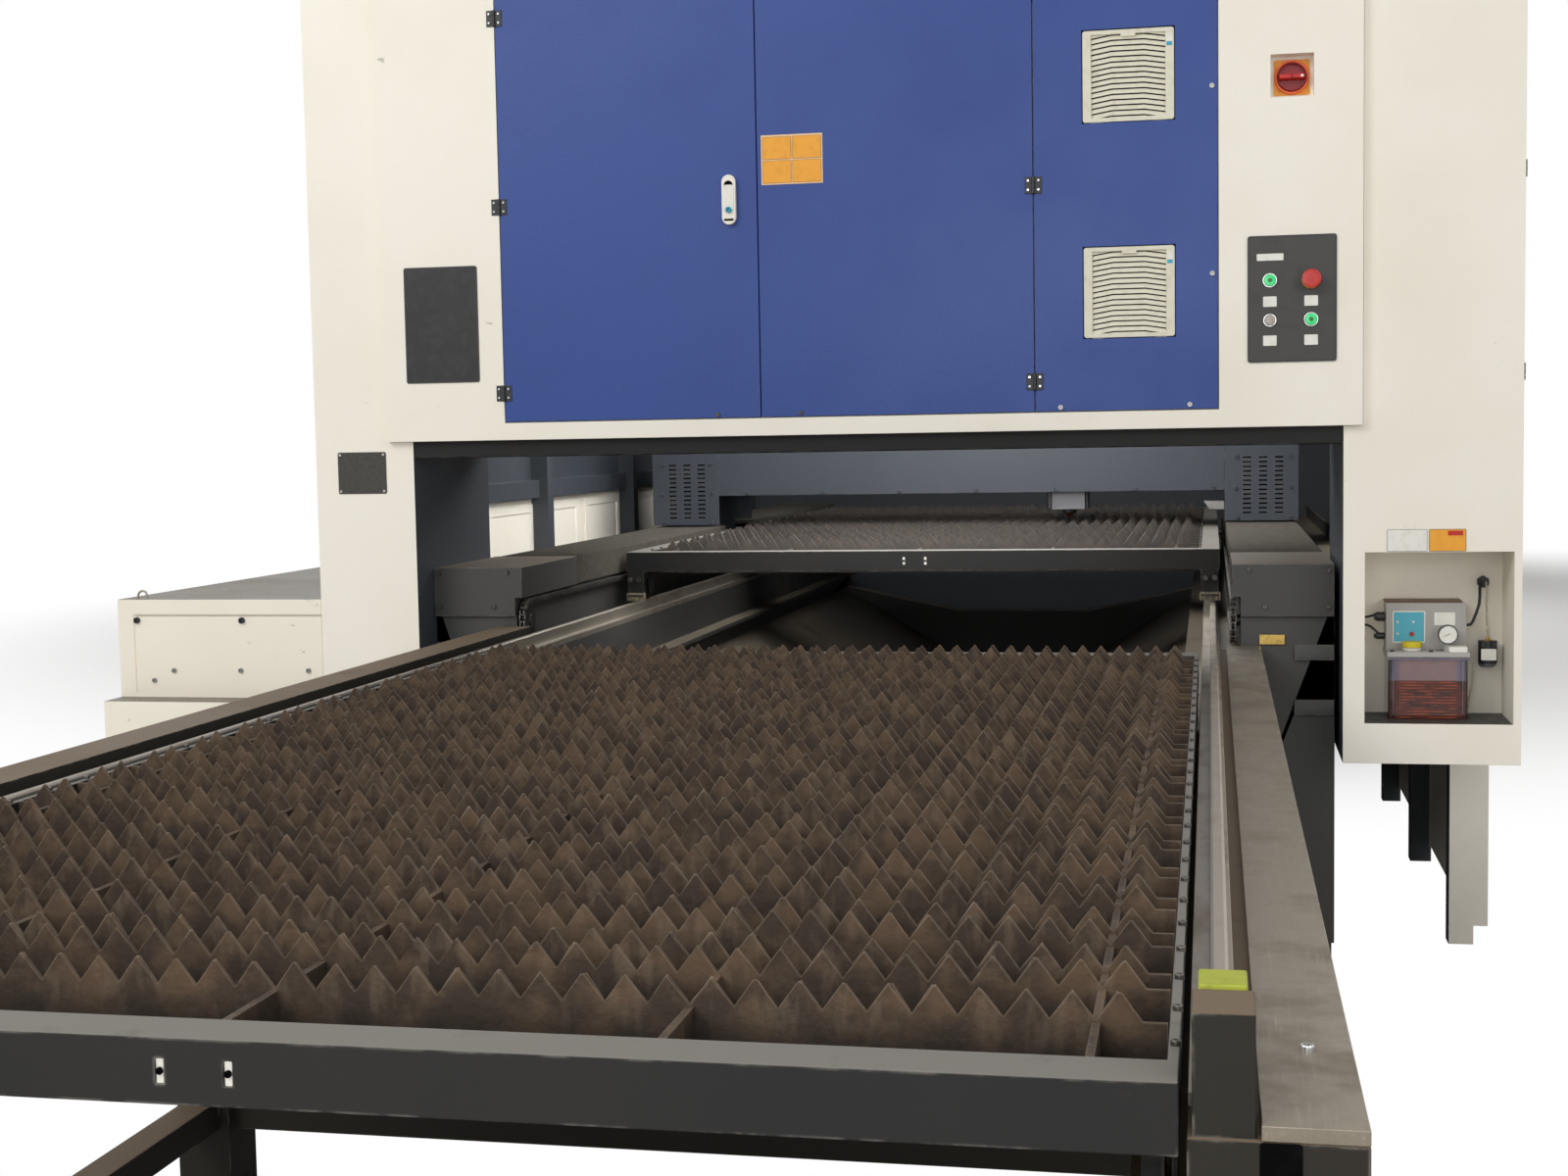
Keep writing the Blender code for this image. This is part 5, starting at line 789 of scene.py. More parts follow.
# %% [markdown]
# ## Bellows
#
# Coated cloth bellows keep dust off the guides beside the pallet. Each fold is an inverted U
# whose rim steps in and out. One fold is modelled from a block without ends or floor, drawn
# out once inwards and once outwards, and an Array lays the folds one behind the other.


# %% One fold, then four bellows
FOLD = 0.0272


def bellows(name, side, start, end):
    """Bellows on one side, from one y to another, with one end at the gantry. They ride on no body."""
    count = round((end - start) / FOLD)
    half = (end - start) / count / 2
    xs = sorted((side * 0.911, side * 1.151))
    cloth = block(name, (xs[0], start, 0.957), (xs[1], start + half, 1.034))
    opened(cloth, lambda middle, normal: abs(normal.y) > 0.9 or normal.z < -0.9)
    middle_x = sum(xs) / 2
    pick(cloth, lambda middle, along: middle.y > start + half * 0.9, "EDGE")
    bpy.ops.transform.resize(
        value=(0.90, 1.0, 0.84), center_override=at(middle_x, start + half, 0.957)
    )
    draw_out((0.0, half, 0.0))
    bpy.ops.transform.resize(
        value=(1 / 0.90, 1.0, 1 / 0.84), center_override=at(middle_x, start + half, 0.957)
    )
    arrayed(cloth, count, (0.0, 2 * half, 0.0), merged=True)
    modified(cloth, "SOLIDIFY", thickness=0.0015, offset=-1.0)
    handed(cloth, "bellows_fabric", None, (name,), 20.0)
    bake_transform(cloth)
    print(name, count, "folds")


for side, hand in ((-1.0, "left"), (1.0, "right")):
    bellows("bellows_front_" + hand, side, 0.6006, 2.4594)
    bellows("bellows_rear_" + hand, side, 2.8406, 4.6994)

# %% [markdown]
# ## Rounded sheet metal
#
# The CAD model's edges are perfectly sharp. A bent sheet has a radius of a millimetre or two
# and a welded tube has three, and that thin round is what catches the light. Each node below
# is copied, the loose triangles of the copy are merged into clean faces, and a Bevel rounds
# it. The CAD node itself stays as it is, and the copy is shown in its place.


# %% A rounded copy of a CAD node
def rounded_copy(name, width, segments=2):
    """Merges a copy of a CAD node into clean faces and rounds its edges."""
    rest()
    twin = bpy.data.objects.new("round_" + name, nodes[name].data.copy())
    bpy.context.scene.collection.objects.link(twin)
    use(twin)
    bpy.ops.mesh.customdata_custom_splitnormals_clear()
    bpy.ops.object.mode_set(mode="EDIT")
    bpy.ops.mesh.select_all(action="SELECT")
    bpy.ops.mesh.remove_doubles(threshold=0.00002)
    bpy.ops.mesh.dissolve_limited(angle_limit=math.radians(0.5))
    rest()
    modified(
        twin, "BEVEL", width=width, segments=segments, limit_method="ANGLE",
        angle_limit=math.radians(40), use_clamp_overlap=False,
    )
    finish = other_finish.get(name, held_slot[name])
    return handed(twin, finish, nodes[name]["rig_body"], (name,))


other_finish = {
    "lower_pallet_frame": "pallet_paint", "upper_pallet_frame": "pallet_paint",
    "exchange_platform": "platform_paint", "cross_tube": "pallet_paint", "low_cabinet": "dusty_white",
    "cutting_head": "head_grey",
}
edge_rounds = {
    "left_column": 0.0015, "right_column": 0.0010, "portal_housing": 0.0008, "cross_tube": 0.004,
    "left_door": 0.0008, "centre_door": 0.0008, "fan_panel": 0.0008, "side_door": 0.0008,
    "low_cabinet": 0.002, "side_wall_left": 0.002, "side_wall_right": 0.002, "rear_wall": 0.002,
    "roof_panel": 0.002, "lower_pallet_frame": 0.002, "upper_pallet_frame": 0.002,
    "bed_frame": 0.0012, "rail_cover_left": 0.001, "rail_cover_right": 0.001,
    "exchange_platform": 0.0015, "platform_plate_left": 0.001, "platform_plate_right": 0.001,
    "pallet_rail_left": 0.0008, "pallet_rail_right": 0.0008, "gantry_cover": 0.0012,
    "gantry_beam": 0.0015, "carriage": 0.001, "cutting_head": 0.001,
    "lock_handle": 0.0015, "lubricator_pump": 0.001,
    "oil_filter": 0.0012, "wall_gland": 0.0008,
}
copies = {name: rounded_copy(name, width) for name, width in edge_rounds.items()}
print("rounded copies:", len(copies), "faces:", sum(len(c.data.polygons) for c in copies.values()))

# %% [markdown]
# ## Second finishes
#
# Some pieces carry more than one finish. The small hinges are black castings, and the walls
# inside the enclosure are enamelled dark above the waist rail, where sparks would show. Both
# are picked by place and given a second material.

# %% Hinges and inner walls
HINGE_FRONT, HINGE_SIDE = -0.0204, 1.5694
second = [(name, "black_cast", lambda middle, normal: middle.y < HINGE_FRONT)
          for name in ("portal_housing", "left_door", "centre_door", "fan_panel")]
second += [
    (name, "black_cast", lambda middle, normal: middle.x > HINGE_SIDE)
    for name in ("right_column", "side_door")
]
second += [
    ("side_wall_left", "inner_enamel",
     lambda middle, normal: middle.x > -1.3835 or (middle.x > -1.42 and middle.z > 1.17)),
    ("side_wall_right", "inner_enamel", lambda middle, normal: middle.x < 1.565 and middle.z > 0.95),
    ("left_column", "inner_enamel", lambda middle, normal: normal.x > 0.9 and middle.x > -1.16),
    ("right_column", "inner_enamel", lambda middle, normal: normal.x < -0.9 and middle.x < 1.17),
    ("rear_wall", "inner_enamel", looks("-y")),
    ("roof_panel", "inner_enamel", looks("-z")),
    ("right_column", "dark_rim", lambda middle, normal: normal.z > 0.9 and 0.01 < middle.y < 0.2
     and middle.z < 0.668 and 1.2 < middle.x < 1.56),
]
for name, finish, test in second:
    touched(copies[name], test, finish)
print("second finishes:", len(second))

# %% Raised frames on the left wall's lower panels
for bay in range(8):
    y = 0.66 + bay * 0.52
    panel = block(f"wall_frame_{bay}", (-1.3838, y, 0.90), (-1.3790, y + 0.44, 1.150))
    handed(rounded(sunk(panel, "+x", 0.028, -0.004), 0.0012), "white_paint")
print("wall frames: 8")

# %% [markdown]
# ## Screws, plates and rims
#
# Small fixings make a machine look assembled. A screw head is a short rod whose end is inset
# twice and pushed in for its socket, and copies of it go to all its places. A plain plate or
# label is a thin block whose corners are rounded in its own plane, with a narrow rim.


# %% Screws
def screws(name, places, radius, finish="dark_steel", body="machine", side="-y", sides=12):
    """Screw heads that stand out of one side, one shaped with its socket and the rest copied."""
    proud = radius * (0.7 if side[0] == "+" else -0.7)
    first = Vector(places[0])
    middle = first + along_axis(side, proud * 0.4)
    head = rod(name, middle, radius, abs(proud) * 1.2, side[1].upper(), sides)
    dished(head, side, radius * 0.15, proud * 0.25)
    bpy.ops.mesh.inset(thickness=radius * 0.35)
    draw_out(along_axis(side, proud * -0.7))
    rest()
    repeated(head, [Vector(place) - first for place in places[1:]])
    return handed(head, finish, body)


# %% Plates and labels
def plate(name, low, high, corner, finish, body="machine", rim=None, rim_width=0.003, holes=()):
    """A thin plate that faces the front, with round corners and, if wanted, a rim and holes."""
    rim_width = min(rim_width, corner * 0.7)
    sheet = sunk(corners(block(name, low, high), "y", corner, 4), "-y", rim_width, 0.0002)
    rest()
    for x, z, radius in holes:
        cut_by(sheet, rod("hole_cutter", (x, (low[1] + high[1]) / 2, z), radius, 0.02, "Y", 32))
    handed(sheet, finish, body)
    if rim:
        left, right = low[0] + rim_width, high[0] - rim_width
        bottom, top = low[2] + rim_width, high[2] - rim_width
        touched(sheet, lambda middle, normal: not (left < middle.x < right and bottom < middle.z < top
                                                   and middle.y < low[1] + 0.0004), rim)
    return sheet


DOOR_FRONT, HINGE_HEIGHTS = -0.020, (1.487, 1.9545, 2.422)
spots = ((0.864, 2.168), (0.864, 1.732), (0.506, 1.424), (0.811, 1.425))
screws("fan_panel_screws", [(x, DOOR_FRONT, z) for x, z in spots], 0.006, "pale_cap")
screws("door_screws", [(-0.341, DOOR_FRONT, 1.423)], 0.0055, body="left_door")
screws("centre_door_screws", [(-0.131, DOOR_FRONT, 1.424)], 0.0055, body="centre_door")
plate("black_plate", (-1.158, -0.0215, 1.517), (-0.961, -0.0198, 1.811), 0.006, "black_label", rim="dark_rim")
plate("rating_plate", (-1.363, -0.0012, 1.236), (-1.230, 0.0002, 1.344), 0.005, "rating_metal",
      rim="dark_rim")
screws("rating_rivets", [(x, -0.0012, z) for x in (-1.356, -1.237) for z in (1.243, 1.337)], 0.0032,
       "pale_cap")
for name, low_x, high_x, finish, rim in (("white_field", 1.265, 1.356, "white_label", "cover_grey"),
                                         ("orange_field", 1.360, 1.443, "orange_label", "brown_rim")):
    plate(name, (low_x, -0.0010, 1.071), (high_x, 0.0002, 1.123), 0.002, finish, rim=rim, rim_width=0.0012)
plate("orange_field_bar", (1.402, -0.0014, 1.108), (1.436, -0.0009, 1.119), 0.001, "red_plastic")
plate("switch_plate", (1.006, 0.0180, 2.1424), (1.088, 0.0198, 2.2244), 0.005, "orange_label")
# Dark strips at the seams beside the portal housing are painted shade in the seams.
for name, x in (("seam_left", -1.2195), ("seam_right", 1.2088)):
    seam = block(name, (x - 0.0013, -0.0008, 1.372), (x + 0.0013, 0.0003, 2.598))
    handed(resized(seam, "-y", (0.5, 1.0, 1.0)), "dark_gap")
for pin, side, body in ((-0.897, -1, "machine"), (-0.897, 1, "left_door"), (0.445, -1, "centre_door"),
                        (0.445, 1, "machine")):
    places = [(pin + side * 0.0125, -0.0228, z + dz) for z in HINGE_HEIGHTS for dz in (-0.011, 0.011)]
    screws(f"hinge_screws_{body}_{round(pin * 1000)}", places, 0.0030, "chromed", body)
print("plates, seams and hinge screws")

# %% [markdown]
# ## Main switch
#
# The rotary switch has a fixed ring, and a red dish turns inside it with a bar to grip. The
# dish is a short rod whose front is inset and pushed in. The bar is a block whose front is
# narrower than its root, and a white mark at its end shows where it points.

# %% Ring, dish and bar
SWITCH_X, SWITCH_Z, BAR_FRONT = 1.047, 2.1834, -0.0083
ring = sunk(rod("switch_ring", (SWITCH_X, 0.0130, SWITCH_Z), 0.0395, 0.0110, "Y", 48), "-y", 0.0055, 0.0100)
handed(rounded(ring, 0.0012), "hot_orange")
dish = sunk(rod("switch_dish", (SWITCH_X, 0.0150, SWITCH_Z), 0.0325, 0.0220, "Y", 48), "-y", 0.0022, 0.0110)
handed(rounded(dish, 0.0007), "deep_red", "switch")
grip = block("switch_grip", (1.0165, BAR_FRONT, 2.1755), (1.0775, 0.0160, 2.1913))
resized(grip, "-y", (0.93, 1.0, 0.62), (SWITCH_X, BAR_FRONT, SWITCH_Z))
handed(rounded(grip, 0.0018, 3), "red_plastic", "switch", ("switch_knob",))
plate("switch_mark", (1.0665, -0.0088, 2.1808), (1.0730, -0.0080, 2.1860), 0.001, "white_label", "switch")
screws("switch_screw", [(SWITCH_X, BAR_FRONT, SWITCH_Z)], 0.0030, "deep_red", "switch")
print("switch:", len(dish.data.polygons) + len(grip.data.polygons), "faces")

# %% Four plain fields on the centre door
plate("orange_sheet", (-0.219, -0.0210, 1.982), (-0.066, -0.0198, 2.102), 0.001, "pale_orange", "centre_door")
for column in (0, 1):
    for row in (0, 1):
        x, z = -0.2155 + column * 0.0745, 1.9855 + row * 0.0575
        plate(f"orange_sheet_{column}{row}", (x, -0.0216, z), (x + 0.0715, -0.0208, z + 0.0545), 0.001,
              "orange_label", "centre_door", rim="brown_rim", rim_width=0.0017)
print("four fields")

# %% [markdown]
# ## Filter vents
#
# The two fan openings have cream plastic grilles. The frame is a block whose front is inset
# and pushed in. A blade is a thin block that is cut twice by a plane and bent down at both
# ends, as on the real grille, and its lower edge leans forward so that water runs off. An
# Array repeats it down the opening. The bottom of the opening is black as painted shade
# behind the blades, and a black ring round the frame is painted shade in the gap around it.


# %% One grille and its blades
def grille(name, middle_z, node):
    x, half, gap_half, blade_half, front = 0.670, 0.1070, 0.1086, 0.0874, -0.0175
    frame = block(name, (x - half, front, middle_z - half), (x + half, 0.0022, middle_z + half))
    inset(frame, "-y", 0.010)
    bpy.ops.transform.resize(value=(0.895, 1.0, 1.0), center_override=at(x, front, middle_z))
    draw_out((0.0, 0.0120, 0.0))
    corners(frame, lambda middle, along: abs(along.y) > 0.9 and abs(middle.x - x) > half - 0.001, 0.006, 4)
    rounded(frame, 0.0008)
    # A black ring round the frame is painted shade in the gap between the grille and the panel.
    gap = block(name + "_gap", (x - gap_half, -0.0060, middle_z - gap_half),
                (x + gap_half, 0.0020, middle_z + gap_half))
    handed(bored(gap, "y", 0.004), "dark_gap")
    top = middle_z + half + 0.0002
    blade = block(name + "_blades", (x - blade_half, front + 0.0075, top - 0.0099),
                  (x + blade_half, front + 0.0095, top))
    for share in (0.28, 0.713):
        bpy.ops.object.mode_set(mode="EDIT")
        bpy.ops.mesh.select_all(action="SELECT")
        cut_x = x - blade_half + 2 * blade_half * share
        bpy.ops.mesh.bisect(plane_co=at(cut_x, 0.0, 0.0), plane_no=(1.0, 0.0, 0.0))
        bpy.ops.object.mode_set(mode="OBJECT")
    pick(blade, "x")
    bpy.ops.transform.translate(value=(0.0, 0.0, -0.008))
    pick(blade, lambda middle, normal: normal.z < -0.85)
    bpy.ops.transform.translate(value=(0.0, -0.0040, 0.0))
    arrayed(rounded(blade, 0.0004, 1), 17, (0.0, 0.0, -0.0126))
    handed(blade, "cream_plastic")
    for suffix, low_x, high_x, ahead, back, low_z, high_z, corner, finish in (
        ("_tab", -0.017, 0.017, 0.0006, 0.0090, 0.0165, 0.0060, 0.002, "cream_plastic"),
        ("_field", 0.0890, 0.1030, 0.0006, 0.0002, 0.0440, 0.0150, 0.001, "white_label"),
        ("_band", 0.0895, 0.1025, 0.0010, -0.0004, 0.0430, 0.0340, 0.001, "blue_dot"),
    ):
        plate(name + suffix, (x + low_x, front - ahead, top - low_z),
              (x + high_x, front + back, top - high_z), corner, finish)
    handed(frame, "cream_plastic", stands_for=(node,))
    # The back of the opening behind the blades is black as painted shade.
    touched(frame, lambda middle, normal: middle.y > -0.0060 and normal.y < -0.9 and abs(middle.x - x) < 0.08,
            "dark_gap")
    print(name, len(blade.data.polygons) + len(frame.data.polygons), "faces")


grille("upper_grille", 2.203, "vent_upper")
grille("lower_grille", 1.695, "vent_lower")

# %% [markdown]
# ## Door lock
#
# The lock is a flap that sits flush in a plate and lifts to turn. Its top has an arched
# finger recess, and a round key cover sits near its bottom. The CAD lever already has the
# outline, so its rounded copy stays and gets the small parts on top.

# %% Arch, key cover and slot on the lever
LOCK_X, LEVER_FRONT = -0.3005, -0.0323
# The finger recess and the key slot are black as painted shade.
arch = rod("lock_arch", (LOCK_X, LEVER_FRONT, 1.984), 0.0112, 0.0016, "Y", 20)
handed(sunk(arch, "-y", 0.0018, 0.0005), "dark_gap", "lock")
plate("lock_flap", (-0.3135, -0.0339, 1.9235), (-0.2875, -0.0321, 1.985), 0.006, "white_label", "lock")
screws("lock_key_cover", [(LOCK_X, LEVER_FRONT, 1.924)], 0.0078, "blue_dot", "lock", sides=20)
plate("lock_slot", (-0.3125, -0.0329, 1.8975), (-0.2885, -0.0321, 1.9025), 0.001, "dark_gap", "lock")
print("lock dressed")

# %% [markdown]
# ## Button panel
#
# The panel is a charcoal plate with four controls and blank fields under them. Each control
# stands in a round hole in the plate, so that it has room to be pressed. Lit buttons have a
# flat lens with a darker middle inside a metal bezel. The emergency stop is a mushroom whose
# underside is narrower than its top, so that a palm finds it.

# %% Panel and blank fields
LEFT, RIGHT, UPPER, LOWER = 0.996, 1.090, 1.711, 1.618
LIT, PLAIN, ROOM, STOP_HOLE = 0.0135, 0.0120, 0.0004, 0.0150
board = plate("control_board", (0.945, -0.0235, 1.520), (1.148, -0.0200, 1.815), 0.006, "charcoal_board",
              rim="black_plastic", rim_width=0.009,
              holes=((LEFT, UPPER, LIT + ROOM), (RIGHT, LOWER, LIT + ROOM), (LEFT, LOWER, PLAIN + ROOM),
                     (RIGHT, UPPER, STOP_HOLE)))
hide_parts("button_panel")
plate("board_strip", (0.966, -0.0241, 1.757), (1.027, -0.0231, 1.773), 0.002, "white_label")
for z in (1.662, 1.571):
    for x in (LEFT, RIGHT):
        plate(f"board_field_{round(x * 1000)}_{round(z * 1000)}", (x - 0.0155, -0.0241, z - 0.0125),
              (x + 0.0155, -0.0231, z + 0.0115), 0.002, "white_label")
print("panel done")


# %% Buttons
def collar(name, x, y, z, radius, length, wall, finish, width):
    """A ring round a control, that stays on the panel."""
    handed(rounded(bored(rod(name, (x, y, z), radius, length, "Y", 36), "y", wall), width), finish)


def push_button(name, x, z, radius, finish, node, centre=None):
    """A short lens with a soft edge, which moves inside its bezel."""
    collar(name + "_bezel", x, -0.0250, z, radius + 0.0028, 0.0036, 0.0021, "chromed", 0.0004)
    lens = dished(rod(name + "_lens", (x, -0.0278, z), radius, 0.0070, "Y", 32), "-y", radius * 0.62, -0.0006)
    handed(rounded(lens, 0.0009, 3), finish, name, (node,))
    if centre:
        touched(lens, lambda middle, normal: (middle - Vector((x, -0.03, z))).length < radius * 0.4
                and normal.y < -0.9, centre)


push_button("exchange_key", LEFT, UPPER, LIT, "green_lens", "exchange_button", "deep_green")
push_button("start_key", RIGHT, LOWER, LIT, "green_lens", "start_button", "deep_green")
push_button("pause_key", LEFT, LOWER, PLAIN, "bright_steel", "pause_button")
mushroom = rod("stop_mushroom", (RIGHT, -0.0453, UPPER), 0.0225, 0.016, "Y", 40)
resized(mushroom, "+y", (0.8, 1.0, 0.8), (RIGHT, -0.0373, UPPER))
bpy.ops.mesh.inset(thickness=0.006)
draw_out((0.0, 0.012, 0.0))
dished(mushroom, "-y", 0.008, -0.0012)
handed(rounded(mushroom, 0.0022, 4), "red_plastic", "estop", ("estop_button",))
collar("stop_collar", RIGHT, -0.0255, UPPER, 0.0215, 0.0046, 0.0060, "yellow_label", 0.0005)
print("four controls")

# %% [markdown]
# ## Gantry ends
#
# Each end of the gantry is a sheet box, open below, with three columns of louvre slots. The
# box is a block without its bottom, and Solidify gives it the sheet's thickness. The slots
# are cut by a Boolean with one grid of small blocks, made by two Arrays.

# %% Louvred end covers
COVER_FRONT = 2.350


def end_cover(side, hand):
    """One sheet box with its louvre slots, shade and screws."""
    xs = sorted((side * 0.908, side * 1.158))
    box = block("end_cover_" + hand, (xs[0], COVER_FRONT, 1.040), (xs[1], 2.910, 1.520))
    opened(box, lambda middle, normal: normal.z < -0.9 or normal.x * side < -0.9)
    rounded(modified(box, "SOLIDIFY", thickness=0.0025, offset=-1.0), 0.0012)
    start = xs[0] + 0.0615
    cutter = block("slot_cutter", (start, COVER_FRONT - 0.010, 1.0650),
                   (start + 0.0290, COVER_FRONT + 0.006, 1.0708))
    arrayed(cutter, 13, (0.0, 0.0, 0.01605))
    arrayed(cutter, 3, (0.0543, 0.0, 0.0))
    cut_by(box, cutter)
    handed(box, "slate_paint", "gantry", ("gantry_end_" + hand,))
    middle_x = sum(xs) / 2
    plate("slot_shade_" + hand, (middle_x - 0.10, 2.3530, 1.055), (middle_x + 0.10, 2.3545, 1.280), 0.002,
          "dark_gap", "gantry")
    spots = ((-0.083, 1.263), (0.097, 1.263), (-0.088, 1.153), (0.100, 1.156), (-0.083, 1.050),
             (0.097, 1.050))
    screws("end_screws_" + hand, [(middle_x + dx, COVER_FRONT, z) for dx, z in spots], 0.0075, "inner_enamel",
           "gantry")
    print(box.name, len(box.data.polygons), "faces")


end_cover(1.0, "right")
end_cover(-1.0, "left")
screws("cover_screws", [(x, COVER_FRONT, 1.156) for x in (-0.80, -0.52, -0.24, 0.04, 0.32, 0.60, 0.87)],
       0.0075, "inner_enamel", "gantry")

# %% Clamps of the cutting head, and the bracket under the cover's right end
for name, x, width in (("head_clamp_left", 0.2955, 0.0180), ("head_clamp_right", 0.4275, 0.0120)):
    clamp = block(name, (x - width / 2, 2.3900, 1.0860), (x + width / 2, 2.4700, 1.3000))
    handed(rounded(sunk(clamp, "-y", 0.003, 0.0040), 0.0015), "black_cast", "head")
nozzle_collar = rod("nozzle_collar", (0.363, 2.4299, 1.0775), 0.0260, 0.0085, "Z", 32)
handed(rounded(dished(nozzle_collar, "-z", 0.004, -0.003), 0.0006), "black_cast", "head")
tongue = block("cover_bracket", (0.835, 2.3600, 1.0790), (0.9070, 2.4400, 1.1090))
resized(tongue, "-z", (0.72, 1.0, 1.0), (0.9070, 2.4, 1.0790))
handed(rounded(tongue, 0.0030), "cover_grey", "gantry")
print("head clamps")

# %% [markdown]
# ## Pallet chains
#
# Roller chains at both sides pull the pallets in and out. Two links, a narrow and a wide one
# with their rollers, are the smallest piece that repeats. They are modelled once and laid
# along the loop, each pair turned to the loop's direction. The toothed idler is a rod of 32
# sides, of which every other edge is drawn in.

# %% One pair of links
PITCH, LOOP_FRONT, LOOP_REAR, LOOP_Z, LOOP_RADIUS = 0.01905, 0.170, 4.500, 0.893, 0.0490
CHAIN_X = 0.9120


def link_pair():
    """A wide and a narrow link with their rollers, at the machine's origin."""
    parts = []
    for low_x, y in ((0.9042, 0.0), (0.9184, 0.0), (0.9060, PITCH), (0.9166, PITCH)):
        side = block("link", (low_x, y - 0.0140, -0.0070), (low_x + 0.0014, y + 0.0140, 0.0070))
        parts.append(corners(side, "x", 0.0055, 1))
    for y in (-PITCH / 2, PITCH / 2):
        parts.append(rod("roller", (CHAIN_X, y, 0.0), 0.0050, 0.0160, "X", 8))
    return joined(parts)


# %% Chain loops and idlers
straight, half_round = LOOP_REAR - LOOP_FRONT, math.pi * LOOP_RADIUS
home = Matrix.Translation(-at(0.0, 0.0, 0.0))


def loop_move(distance):
    """The move that takes the pair of links to a distance along the loop, in the scene."""
    bend = distance - straight if distance < straight + half_round else distance - 2 * straight - half_round
    bow = max(bend, 0.0) / LOOP_RADIUS
    if distance < straight + half_round:
        y, turn, lean = LOOP_FRONT - min(bend, 0.0), math.pi + bow, -1.0
    else:
        y, turn, lean = LOOP_REAR + min(bend, 0.0), bow, 1.0
    place = (0.0, y + lean * LOOP_RADIUS * math.sin(bow), LOOP_Z - lean * LOOP_RADIUS * math.cos(bow))
    return Matrix.Translation(at(*place)) @ Matrix.Rotation(turn, 4, "X") @ home


count = round((2 * straight + 2 * half_round) / PITCH / 2)
step = (2 * straight + 2 * half_round) / count
for side, hand in ((1.0, "right"), (-1.0, "left")):
    chain = link_pair()
    if side < 0:
        chain.data.transform(Matrix.Translation((-2 * 0.9121, 0.0, 0.0)))
    whole = repeated(chain, [loop_move((0.3 + number) * step) for number in range(count)])
    pick(whole, lambda middle, normal: middle.z < 0.5)
    bpy.ops.mesh.delete(type="FACE")
    rest()
    whole.name = "pallet_chain_" + hand
    handed(whole, "dark_steel", stands_for=("drive_chain_" + hand,))
    idler = rod("chain_idler_" + hand, (side * CHAIN_X, LOOP_FRONT, LOOP_Z), 0.0500, 0.0075, "X", 32)
    toothed(idler, "x", 16, (1.0, 0.88, 0.88), (side * CHAIN_X, LOOP_FRONT, LOOP_Z))
    handed(rounded(idler, 0.0006, 1), "dark_steel")
    axle = rod("idler_axle_" + hand, (side * 0.925, LOOP_FRONT, LOOP_Z), 0.014, 0.040, "X", 20)
    inset(axle, "x", 0.004)
    handed(rounded(axle, 0.001), "dark_steel")
    print(whole.name, count, "pairs,", len(whole.data.polygons), "faces")

# %% [markdown]
# ## Bed front and pallet ends
#
# The front plates of the two side boxes are held by four screws each. On the upper pallet's
# front corners sit scraper brackets with brushes, which sweep the running rail when the
# pallet comes out. A brush is one row of thin blocks, leaning a little at random.

# %% Screws of the side boxes and the ledge brackets
for side, hand in ((1.0, "right"), (-1.0, "left")):
    spots = ((0.950, 1.022), (1.138, 1.020), (0.988, 0.932), (1.137, 0.932))
    screws("box_screws_" + hand, [(side * x, 0.112, z) for x, z in spots], 0.0062)
    screws("ledge_screws_" + hand, [(side * 1.083, 0.160, 0.836), (side * 1.126, 0.160, 0.836)], 0.0075,
           side="+z", sides=6)
    xs = sorted((side * 0.975, side * 1.035))
    stop = sunk(block("roller_block_" + hand, (xs[0], 0.118, 0.838), (xs[1], 0.150, 0.862)), "+z", 0.004,
                -0.003)
    handed(rounded(stop, 0.0008), "brass_block" if side > 0 else "pale_cap")
print("bed front fixings")

# %% Scraper bolts and brushes on the upper pallet
for side, hand in ((1.0, "right"), (-1.0, "left")):
    screws("scraper_bolts_" + hand, [(side * 0.844, 1.014, 0.937), (side * 0.871, 1.014, 0.937)], 0.0085,
           body="upper_pallet", sides=6)
    x = side * 0.856
    tuft = block("brush_" + hand, (x - 0.029, 1.016, 0.872), (x - 0.0275, 1.021, 0.896))
    resized(tuft, "-z", (0.6, 0.6, 1.0), (x - 0.028, 1.0185, 0.872))
    arrayed(tuft, 28, (0.0021, 0.0, 0.0))
    pick(tuft, lambda middle, normal: normal.z < -0.7)
    bpy.ops.transform.vertex_random(offset=0.0016, uniform=0.3, normal=0.0, seed=3)
    handed(tuft, "brush_fibre", "upper_pallet")
print("scrapers")

# %% Pale strips in the slots of the front tubes, black holes of painted shade, and bolts along the pallets' sides
for name, body, y, z in (("lower", "lower_pallet", LOWER_FRONT, 0.837),
                         ("upper", "upper_pallet", UPPER_FRONT, 0.990)):
    for side, x in (("left", -0.032), ("right", 0.032)):
        plate(f"{name}_slot_{side}", (x - 0.0034, y + 0.0015, z - 0.0108),
              (x + 0.0034, y + 0.0110, z + 0.0108), 0.001, "pale_cap", body)
    # The holes in the slots are black as painted shade.
    screws(name + "_slot_holes", [(x, y + 0.0015, z) for x in (-0.032, 0.032)], 0.0033, "dark_gap", body)
for name, body, y, top in (("upper", "upper_pallet", UPPER_FRONT, 1.020),
                           ("lower", "lower_pallet", LOWER_FRONT, 0.867)):
    row = [(side * 0.8285, y + 0.10 + 0.105 * number, top) for side in (-1, 1) for number in range(28)]
    screws(name + "_side_bolts", row, 0.0052, body=body, side="+z", sides=6)
screws("cabinet_locks", [(-1.951, 0.0, 0.906), (-1.649, 0.0, 0.906)], 0.0085, "black_cast", sides=20)
screws("cabinet_screws", [(-1.907, 0.0, 0.7455), (-1.849, 0.0, 0.772), (-1.657, 0.0, 0.773),
                          (-1.465, 0.0, 0.774)], 0.0065, "cover_grey")
print("slots and bolts")

